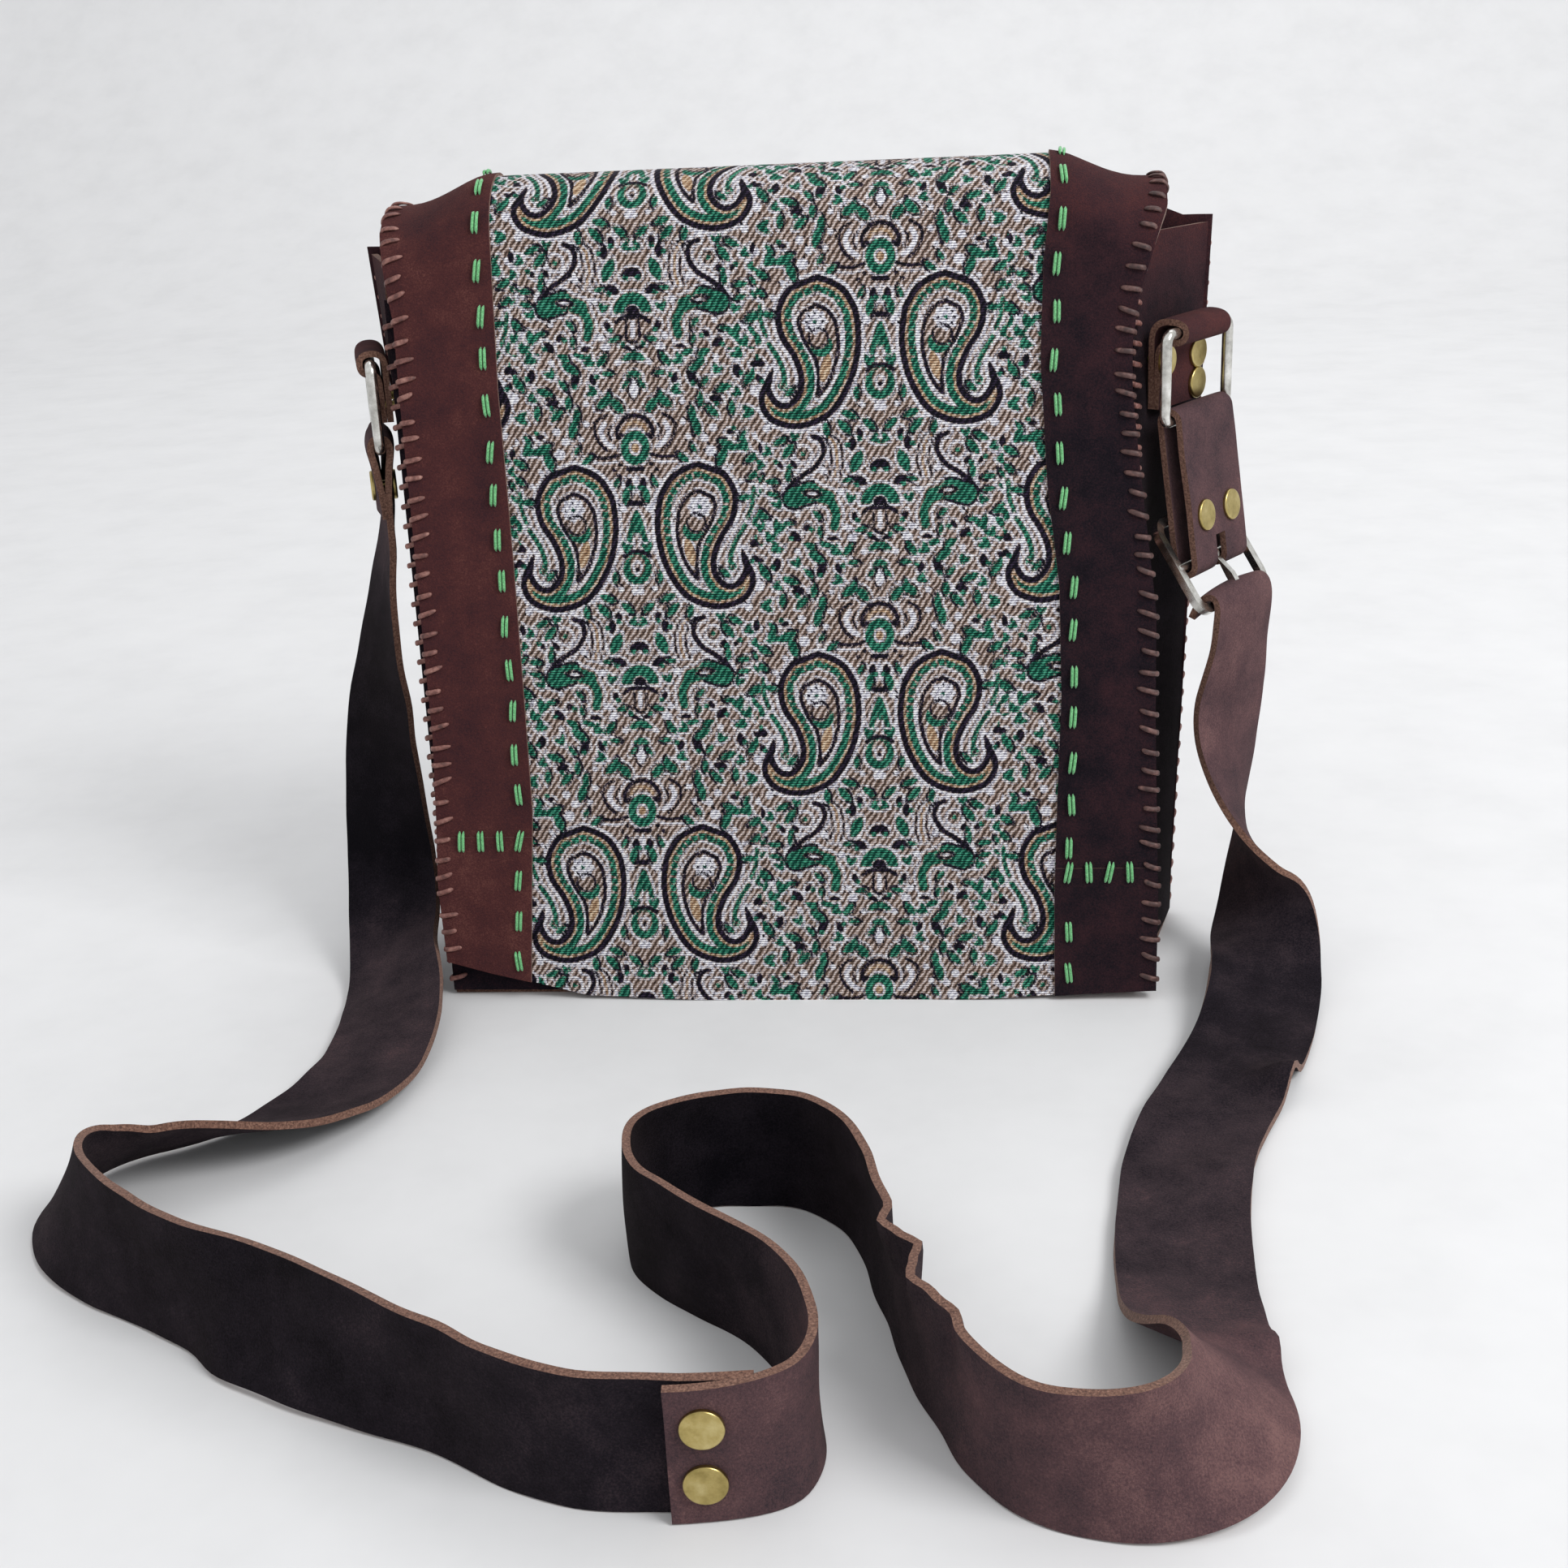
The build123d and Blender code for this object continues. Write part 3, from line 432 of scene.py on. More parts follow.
def strapMesh(name, grid, nap):
    # a length of strap laid directly, as two faces and the cut rim between them
    rows, columns = grid.shape[:2]
    size = rows * columns
    lift = gridNormals(grid) * strap["thick"] / 2
    index = np.arange(size).reshape(rows, columns)
    quads = np.stack([index[:-1, :-1], index[1:, :-1], index[1:, 1:], index[:-1, 1:]], axis=-1).reshape(-1, 4)
    start, end = quads.ravel(), np.roll(quads, -1, axis=1).ravel()
    outer = ~np.isin(start * size + end, end * size + start)
    start, end = start[outer], end[outer]
    rim = np.stack([end, start, start + size, end + size], axis=-1)
    faces = np.concatenate([quads, quads[:, ::-1] + size, rim])
    mesh = bpy.data.meshes.new(name)
    points = np.concatenate([grid + lift, grid - lift]).reshape(-1, 3) * metre
    mesh.from_pydata(points.tolist(), [], faces.tolist())
    slots = np.repeat([0, 1], [2 * len(quads), len(rim)]).astype(np.int32)
    mesh.polygons.foreach_set("material_index", slots)
    values = np.tile(np.repeat(nap, columns), 2).astype(np.float32)
    mesh.attributes.new("nap", "FLOAT", "POINT").data.foreach_set("value", values)
    return mesh


def strapPieces(route, node, seed, paintedSheen, creases, parts, cuts=()):
    # one strap as one or more pieces, cut where it first rises past a height, and the first one's middle line
    points = np.array([point for point, across in route], float)
    sides = unit(np.array([across for point, across in route], float))
    centres = splineLine(points, strap["steps"])
    edges = splineLine(points + sides * strap["width"] / 2, strap["steps"])
    apart = np.concatenate([[True], np.linalg.norm(np.diff(centres, axis=0), axis=1) > 0.05])
    centres, edges = centres[apart], edges[apart]
    far = pathLength(centres)
    grid, out = ribbonGrid(centres, edges - centres, strap["width"], strap["columns"], strap["wave"], seed,
                           strap["cup"])
    offsets = np.linspace(-strap["width"] / 2, strap["width"] / 2, strap["columns"])
    for x, y, offset, height, longHalf, wideHalf in creases:
        at = far[np.argmin(np.hypot(centres[:, 0] - x, centres[:, 1] - y))]
        fade = ((far[:, None] - at) / longHalf) ** 2 + ((offsets[None] - offset) / wideHalf) ** 2
        grid = grid + out[:, None] * (height * np.exp(-fade))[..., None]
    # painted sheen and shade along the strap, from its table
    nap = along(paintedSheen, far / far[-1])
    ends = [0] + [int(np.argmax(centres[:, 2] > height)) for height in cuts] + [len(centres) - 1]
    made = []
    for (name, *owner), low, high in zip(parts, ends[:-1], ends[1:]):
        rows = slice(low, high + 1)
        mesh = strapMesh(name, grid[rows], nap[rows])
        made.append(makePiece(name, mesh, [strapSuede, rawEdge], owner, [node], rimAngle))
    return made, centres[:ends[1] + 1]


# each piece runs from one body to the next between two heights, and is fixed where it lies
leftParts = [("strapLeft", "bag", "left_ring", (-0.14, 0.02, 0.03), (-0.14, 0.02, 0.16))]
rightParts = [("strapRight", "bag", "right_ring", (0.15, 0.01, 0.02), (0.15, 0.01, 0.078)),
              ("strapRightNeck", "right_ring", "buckle_tab", (0.15, 0.01, 0.082), (0.15, 0.01, 0.108)),
              ("strapRightFold", "buckle_tab", "buckle", (0.15, 0.01, 0.111), (0.15, 0.01, 0.117))]
rightCuts = (80, 110)
(leftStrap,), leftCentres = strapPieces(leftRoute, "strap_left", 11, leftPaintedSheen, leftCreases, leftParts)
(rightStrap, *rightTop), rightCentres = strapPieces(rightRoute, "strap_right", 21, rightPaintedSheen, rightCreases,
                                                    rightParts, rightCuts)
print("straps made", [round(float(pathLength(line)[-1])) for line in (leftCentres, rightCentres)])

# body of the bag, each corner as x at the table and at the body's height
body = dict(frontY=-31.0, frontLean=11.0, backY=32.0, backLean=4.3, hide=2.0, height=238.0,
            frontTop=225.0, gussetTop=236.0, backTop=247.2, sag=3.0, fold=7.0, foldTop=165.0,
            frontLeft=(-114.0, -124.0), frontRight=(114.0, 112.0), backLeft=(-120.0, -137.0),
            backRight=(130.0, 139.5))


def cornerPoint(face, side, z, shift=0.0):
    # a point on the edge of the front or the back, moved by shift towards the back
    foot, top = body[face + ("Left" if side < 0 else "Right")]
    y = body[face + "Y"] + z * math.tan(math.radians(body[face + "Lean"])) + shift
    return np.stack([foot + (top - foot) * z / body["height"], y, z], axis=-1)


def panel(name, face, inward, node, nap, droop):
    # the panel sags inwards between its seams, has an uneven top, and its top corners droop
    size, top = 60, body[face + "Top"]
    z = np.broadcast_to(np.linspace(body["hide"], top, size)[:, None], (size, size)).copy()
    u = np.linspace(0, 1, size)[None, :]
    left, right = cornerPoint(face, -1, z), cornerPoint(face, 1, z)
    x, y, z = np.moveaxis(left * (1 - u[..., None]) + right * u[..., None], -1, 0)
    rest = np.sin(np.pi * u) * np.clip((z - body["hide"]) / 20, 0, 1)
    y = y + inward * body["sag"] * rest * (0.5 + 0.5 * softNoise(np.stack([x, z, z * 0], axis=-1), 55.0, 8))
    z = z + np.where(z > top - 12, 0.8 * softNoise(np.stack([x, x * 0, x * 0], axis=-1), 22.0, 9), 0)
    z = z - droop * np.clip((np.abs(x) - 100) / 30, 0, 1) ** 1.5 * np.clip((z - 150) / 90, 0, 1)
    above, below = (0.0, body["hide"]) if inward > 0 else (body["hide"], 0.0)
    grid = np.stack([x, y, z], axis=-1)[:, ::-1]
    slab(name, grid, above, below, [suede, rawEdge], ("bag",), [node], nap)


# the fifth value is the painted sheen and shade of each panel's suede
panel("frontPanel", "front", 1, "front_panel", 0.25, 0.0)
panel("backPanel", "back", -1, "back_panel", 0.5, 9.0)


def gusset(name, side, node):
    # the side folds in below the ring's tab
    z = np.broadcast_to(np.linspace(body["hide"], body["gussetTop"], 60)[:, None], (60, 24)).copy()
    u = np.linspace(0, 1, 24)[None, :]
    near, far = cornerPoint("front", side, z, 2.3), cornerPoint("back", side, z, -0.3)
    grid = near * (1 - u[..., None]) + far * u[..., None]
    inward = unit(np.cross(far - near, [0, 0, 1.0]))
    inward = inward * np.sign(inward[..., :1]) * -side
    dip = body["fold"] * np.sin(np.pi * u) ** 2 * np.clip((z - body["hide"]) / 30, 0, 1)
    dip = dip * np.clip((body["foldTop"] - z) / 50, 0, 1)
    dip = dip + 0.6 * softNoise(grid, 26.0, 14) * np.clip((body["foldTop"] - z) / 30, 0, 1)
    grid = grid + inward * dip[..., None]
    # painted shade lower down the side and painted sheen towards its top
    nap = np.interp(z[:, 0], [0, 150, 215, 236], [0.05, 0.1, 0.35, 0.6])
    slab(name, grid[:, ::-side], 0.0, body["hide"], [suede, rawEdge], ("bag",), [node], nap)


gusset("leftGusset", -1, "left_gusset")
gusset("rightGusset", 1, "right_gusset")

u = np.linspace(0, 1, 30)[:, None]
v = np.linspace(0, 1, 16)[None, :]
frontRow, backRow = (cornerPoint(face, -1, 0.0)[0] * (1 - u) + cornerPoint(face, 1, 0.0)[0] * u
                     for face in ("front", "back"))
frontFoot, backFoot = cornerPoint("front", 1, body["hide"], 2.2)[1], cornerPoint("back", 1, 0.0, -0.2)[1]
baseGrid = np.stack([frontRow * (1 - v) + backRow * v, frontFoot * (1 - v) + backFoot * v + 0 * u,
                     body["hide"] + 0 * u * v], axis=-1)
slab("basePanel", baseGrid, 0.0, body["hide"], [suede, rawEdge], ("bag",), ["base_panel"])

# lace round a seam: how far in from the edge, off the face, off the side and along it, and share of the slant
lace = dict(pitch=6.2, wide=1.7, thick=0.9, reach=5.0, slant=1.7)
seamLoop = [(lace["reach"], 0.1, 0, 0, 1), (3.0, 0.75, 0, 0, 0.6), (0.4, 0.75, 0, 0, 0.2),
            (0, 0.5, 0.75, 0, 0), (0, 0, 0.8, 2.0, -0.3), (0, 0, 0.2, 4.6, -0.8)]


def seamLacing(name, side, face, node):
    paths = []
    other, outY, shift = ("front", 1.0, 2.0) if face == "back" else ("back", -1.0, 0.0)
    for z in np.arange(6.0, min(body[face + "Top"], body["gussetTop"]) - 4, lace["pitch"]):
        edge = cornerPoint(face, side, z, shift)
        run = unit(cornerPoint(other, side, z) - edge)
        ahead = np.array([0, outY, 0])
        out = np.array([run[1], -run[0], 0])
        out = out * np.sign(out[0] * side)
        inner = np.array([-side, 0, 0.0])
        tilt = np.array([0, 0, lace["slant"]])
        line = smoothLine([edge + inner * inside + ahead * off + out * clear + run * far + tilt * share
                           for inside, off, clear, far, share in seamLoop], 3)
        blend = np.clip(np.linspace(-0.6, 1.6, len(line)), 0, 1)[:, None]
        paths.append((line, ahead * (1 - blend) + out * blend))
    threads(name, paths, lace["wide"], lace["thick"], laceLeather, ("bag",), [node])


seamLacing("frontLeftLacing", -1, "front", "front_left_lacing")
seamLacing("frontRightLacing", 1, "front", "front_right_lacing")
seamLacing("backLeftLacing", -1, "back", "back_left_lacing")
seamLacing("backRightLacing", 1, "back", "back_right_lacing")
print("body made")

# flap, which hangs in front of the bag and rounds over to its hinge, lower at its shoulders
flap = dict(lean=11.0, clear=5.0, crest=248.0, shoulder=232.0, left=-120.0, right=117.0, shoulderLeft=-88.0,
            shoulderRight=86.0, reach=300.0, plain=200.0, liningDepth=1.8, wave=0.7, waveSize=34.0)
lean = math.radians(flap["lean"])
footY = body["frontY"] - flap["clear"] / math.cos(lean)
hingeY, hingeZ = (v / metre for v in joints["flap_hinge"]["pos_m"][1:])

# edges of the flap, given as (rise from the foot, x) and for the foot (x, rise)
leftOuter = [(0, -116), (15, -114.5), (40, -116), (90, -115), (145, -117), (200, -119), (225, -119.5),
             (258, -124), (320, -125)]
leftInner = [(5, -86.5), (65, -83), (105, -84), (145, -85), (200, -87), (320, -87.5)]
rightInner = [(0, 87), (35, 87), (65, 88), (100, 89.5), (135, 89), (166, 85.5), (205, 83.5), (232, 84.5),
              (254, 87), (320, 87.5)]
rightOuter = [(0, 119.5), (35, 120), (90, 119), (127, 119), (175, 113.5), (195, 111.5), (210, 111.5),
              (226, 113.5), (258, 122.5), (320, 124)]
footEdge = [(-119, 15), (-100, 10), (-87, 7), (-68, 2), (-33, 0.5), (7, 0), (60, 0.5), (119, 3.5)]


def roundAt(x):
    # rise where the face turns over, with the centre and radius of that turn
    leftShare = (flap["shoulderLeft"] - x) / (flap["shoulderLeft"] - flap["left"])
    rightShare = (x - flap["shoulderRight"]) / (flap["right"] - flap["shoulderRight"])
    share = np.clip(np.maximum(leftShare, rightShare), 0, 1)
    rise = flap["crest"] + (flap["shoulder"] - flap["crest"]) * share * share * (3 - 2 * share)
    y, z = footY + rise * math.sin(lean), rise * math.cos(lean)
    dy, dz = hingeY - y, hingeZ - z
    radius = (dy ** 2 + dz ** 2) / (2 * (dy * math.cos(lean) - dz * math.sin(lean)))
    return rise, y + radius * math.cos(lean), z - radius * math.sin(lean), radius


def flapEnd(x):
    rise, cy, cz, radius = roundAt(x)
    turn = math.pi - np.arcsin(np.clip((hingeZ - cz) / radius, -1, 1)) - lean
    return rise + radius * turn


def flapPoint(x, s, depth):
    # a point by its x, how far up the flap it is and how deep under the face
    x, s, depth = np.broadcast_arrays(np.asarray(x, float), np.asarray(s, float), np.asarray(depth, float))
    ripple = softNoise(np.stack([x, s, s * 0], axis=-1), flap["waveSize"], 5)
    depth = depth + flap["wave"] * ripple * np.clip((260 - s) / 60, 0, 1)
    rise, cy, cz, radius = roundAt(x)
    angle = lean + (s - rise) / radius
    flatY = footY + s * math.sin(lean) + depth * math.cos(lean)
    flatZ = s * math.cos(lean) - depth * math.sin(lean)
    roundY = cy - (radius - depth) * np.cos(angle)
    roundZ = cz + (radius - depth) * np.sin(angle)
    return np.stack([x, np.where(s > rise, roundY, flatY), np.where(s > rise, roundZ, flatZ)], axis=-1)


def flapSheet(edgeA, edgeB, low, high, rows, columns, depth):
    # rows run up the flap, from the foot where low is 0 and to the hinge where high is the flap's reach
    v = np.linspace(0, 1, rows)[:, None]
    u = np.linspace(0, 1, columns)[None, :]
    s = np.broadcast_to(low + (high - low) * v, (rows, columns))
    x = along(edgeA, s) * (1 - u) + along(edgeB, s) * u
    if low == 0:
        foot = along(footEdge, x)
        s = foot + s * (high - foot) / high
        x = along(edgeA, s) * (1 - u) + along(edgeB, s) * u
    if high == flap["reach"]:
        top, plain = flapEnd(x) - 0.3, flap["plain"]
        s = np.where(s > plain, plain + (s - plain) * (top - plain) / (high - plain), s)
    return x, s, flapPoint(x, s, depth)


x, s, grid = flapSheet(leftOuter, rightOuter, 0, flap["reach"], 110, 70, flap["liningDepth"])
slab("flapLining", grid, 1.2, 0.0, [lining, rawEdge], ("flap",), ["flap_lining"], 0.5)

strip = dict(leftSeam=55.0, rightSeam=43.0, lap=1.5, thick=1.8, proud=0.35)


def strips(side, outer, inner, seam, label, paintedSheen):
    # a suede strip down one side of the flap, and the patch that laps its lower end
    for part, low, high, rows, depth in (("strip", seam, flap["reach"], 100, 0.0),
                                         ("patch", 0, seam + strip["lap"], 26, -strip["proud"])):
        x, s, grid = flapSheet(outer, inner, low, high, rows, 12, depth)
        slab(label + part.title(), grid[:, ::side], 0.0, strip["thick"], [suede, rawEdge], ("flap",),
             ["flap_" + label + "_" + part], along(paintedSheen, s[:, 0]))


# painted sheen on the left strip and painted shade on the right strip, by rise up the flap
strips(-1, leftOuter, leftInner, strip["leftSeam"], "left", [(0, 0.74), (50, 0.76), (60, 0.68), (320, 0.68)])
strips(1, rightOuter, rightInner, strip["rightSeam"], "right",
       [(0, 0.34), (180, 0.3), (235, 0.45), (260, 0.6), (320, 0.6)])

# lace round the flap's edge: share of the reach, how far in, share of the slant, drop and depth
flapLoop = [(1, 0, 1, 0, -0.1), (0, 3.2, 0.6, 0, -0.75), (0, 0.6, 0.2, 0, -0.65), (0, -0.65, 0, 0, 0.9),
            (0, -0.5, 0, 0.3, 2.3), (0, 1.0, 0, 0.6, 3.5), (0, 4.4, 0, 1.5, 3.3)]


def flapLacing(side, outer, label, material):
    paths = []
    rng = np.random.default_rng(60 + side)
    last = float(flapEnd(np.array(side * 115.0)))
    for s in np.arange(float(along(footEdge, side * 116)) + 4, last - 4, lace["pitch"]):
        s = s + rng.uniform(-0.7, 0.7)
        edge = float(along(outer, s))
        reach = lace["reach"] + rng.uniform(-0.8, 1.0)
        slant = lace["slant"] + rng.uniform(-1.0, 0.9)
        line = smoothLine([(edge - side * (reach * whole + inside), s + slant * share - drop, depth)
                           for whole, inside, share, drop, depth in flapLoop], 3)
        place = flapPoint(*line.T)
        ahead = flapPoint(line[:, 0], line[:, 1], line[:, 2] - 1.0) - place
        swing = np.clip((line[:, 2:3] + 0.7) / 2.1, 0, 2)
        outward = ahead * (1 - swing) + np.array([side, 0, 0.0]) * (1 - np.abs(1 - swing))
        paths.append((place, outward))
    threads(label + "FlapLacing", paths, lace["wide"], lace["thick"], material, ("flap",),
            ["flap_" + label + "_lacing"])


flapLacing(-1, leftOuter, "left", laceLeather)
# the right edge's lace is the copy with painted shade
flapLacing(1, rightOuter, "right", shadedLace)

stitch = dict(pitch=14.0, long=7.0, wide=2.1, high=1.2, inset=4.2, strand=0.62, most=21, across=4,
              acrossPitch=6.5)


def flapStitches(side, inner, seam, label):
    # running stitches beside the brocade and a short row across the patch seam, two strands to each
    paths = []
    half = stitch["long"] / 2

    def lay(x, s, slant):
        t = np.linspace(0, 1, 9)
        run = np.array([2 * slant, stitch["long"]])
        for shift in (-stitch["strand"], stitch["strand"]):
            cross = np.array([-run[1], run[0]]) / np.hypot(*run) * shift
            xs = x - slant + run[0] * t + cross[0]
            ss = s - half + run[1] * t + cross[1]
            lift = 0.05 - np.sqrt(np.clip(1 - (2 * t - 1) ** 4, 0, 1))
            place = flapPoint(xs, ss, lift)
            paths.append((place, flapPoint(xs, ss, lift - 1.0) - place))

    rng = np.random.default_rng(40 + side)
    start = float(along(footEdge, side * 88)) + 7
    last = float(flapEnd(np.array(side * 90.0))) - 9
    for i in range(stitch["most"]):
        s = start + i * stitch["pitch"] + rng.uniform(-0.7, 0.7)
        if s > last:
            break
        if abs(s - seam) < stitch["long"] + 1:
            continue
        x = float(along(inner, s)) + side * stitch["inset"] + rng.uniform(-0.4, 0.4)
        lay(x, s, rng.uniform(-0.5, 0.5))
    for i in range(stitch["across"]):
        x = float(along(inner, seam)) + side * (stitch["inset"] + i * stitch["acrossPitch"])
        lay(x, seam, rng.uniform(-0.2, 0.9))
    threads(label + "FlapStitches", paths, stitch["wide"] / 2, stitch["high"], greenThread, ("flap",),
            ["flap_" + label + "_stitches"])


flapStitches(-1, leftInner, strip["leftSeam"], "left")
flapStitches(1, rightInner, strip["rightSeam"], "right")
print("flap leather made")


# brocade, woven as distance fields from listed motif outlines
def segmentField(a, b, line):
    # distance to a polyline, and how far along it the nearest spot is
    best = np.full(a.shape, 1e9)
    reach = np.zeros(a.shape)
    gone = 0.0
    for (pa, pb), (qa, qb) in zip(line[:-1], line[1:]):
        la, lb = qa - pa, qb - pb
        size = max(la * la + lb * lb, 1e-9)
        t = np.clip(((a - pa) * la + (b - pb) * lb) / size, 0, 1)
        gap = np.hypot(a - pa - t * la, b - pb - t * lb)
        near = gap < best
        best = np.where(near, gap, best)
        reach = np.where(near, gone + t * math.sqrt(size), reach)
        gone += math.sqrt(size)
    return best, reach


def outlineField(a, b, outline):
    # the same for a closed outline, negative inside it
    ring = np.concatenate([outline, outline[:1]])
    gap, reach = segmentField(a, b, ring)
    inside = np.zeros(a.shape, dtype=bool)
    for (pa, pb), (qa, qb) in zip(ring[:-1], ring[1:]):
        crosses = (pb > b) != (qb > b)
        safe = qb - pb if abs(qb - pb) > 1e-9 else 1e-9
        inside ^= crosses & (a < pa + (b - pb) / safe * (qa - pa))
    return np.where(inside, -gap, gap), reach


def closedCurve(points, count=5):
    spots = np.asarray(points, float)
    return smoothLine(np.concatenate([spots[-2:], spots, spots[:2]]), count)[2 * count:-2 * count - 1]


def disc(a, b, ca, cb, r):
    return np.hypot(a - ca, b - cb) - r


def leaf(a, b, ca, cb, longHalf, wideHalf, angle):
    # a pointed leaf as two circles that cross
    turn = math.radians(angle)
    p = (a - ca) * math.cos(turn) + (b - cb) * math.sin(turn)
    q = -(a - ca) * math.sin(turn) + (b - cb) * math.cos(turn)
    r = (longHalf ** 2 + wideHalf ** 2) / (2 * wideHalf)
    return np.hypot(p, np.abs(q) + r - wideHalf) - r


def stroke(a, b, points, width, count=4):
    return segmentField(a, b, smoothLine(points, count))[0] - width / 2


def band(d, low, high):
    return np.abs(d - (low + high) / 2) - (high - low) / 2


brocade = dict(period=117.0, spacing=77.6, axis=35.2, drift=0.0215, driftFrom=259.0, pairTop=209.5,
               stagger=2.5, depth=1.0, apart=3.9, rows=352, columns=206)
half = brocade["period"] / 2
blank = 9.0  # a distance at which no thread shows

# outlines of half a pair, as (distance from the axis, drop from the top)
paisley = [(20.1, 0), (12, 3.3), (8.2, 8.2), (6.5, 13), (6, 22.3), (8.7, 33.2), (15.2, 42.9), (25, 46.7),
           (33.2, 45.1), (37, 41.3), (38, 37), (36.4, 32.6), (33.7, 27.7), (33.7, 31), (34.2, 34.2),
           (32, 38), (28.8, 38.6), (25.8, 35.3), (25.5, 30.4), (27.7, 24.5), (31.2, 19), (32.6, 13),
           (31.5, 7.6), (27.2, 2.2)]
teardrop = [(20.4, 8.7), (16.2, 10.5), (13.6, 14.1), (13, 16.8), (12.6, 22), (13.6, 27.7), (16, 33.5),
            (19.8, 37.5), (19.6, 31), (20.7, 25.5), (23.6, 21), (25.2, 16.8), (25.8, 14.1), (24.2, 10.3)]

# strokes of the palmette, as thread, width and points
palmette = [("dark", 1.4, [(0, -4.4), (3.2, -3.4), (5.5, -0.4), (5.4, 2.6), (3.9, 1.6)]),
            ("pale", 0.9, [(0, -6.0), (4.0, -4.8), (7.0, -1.4), (7.2, 3.0)]),
            ("cream", 1.0, [(0, -2.4), (2.6, -1.4), (3.6, 0.4)]),
            ("dark", 1.1, [(8.9, -4.6), (12.2, -2.6), (12.8, 0.6), (11.2, 4.2), (8.6, 6.6)]),
            ("pale", 1.7, [(9.6, -2.0), (10.8, 0.6), (9.2, 4.0), (7.0, 5.4)]),
            ("dark", 0.8, [(7.4, -1.6), (8.6, 0.6), (7.4, 3.4)]),
            ("dark", 1.2, [(13.4, 8.4), (9.0, 8.8), (4.8, 7.8)]),
            ("pale", 0.9, [(14.0, 10.0), (9.0, 10.4), (5.6, 9.8)]),
            ("pale", 0.9, [(0, 14.0), (0, 19.0)])]


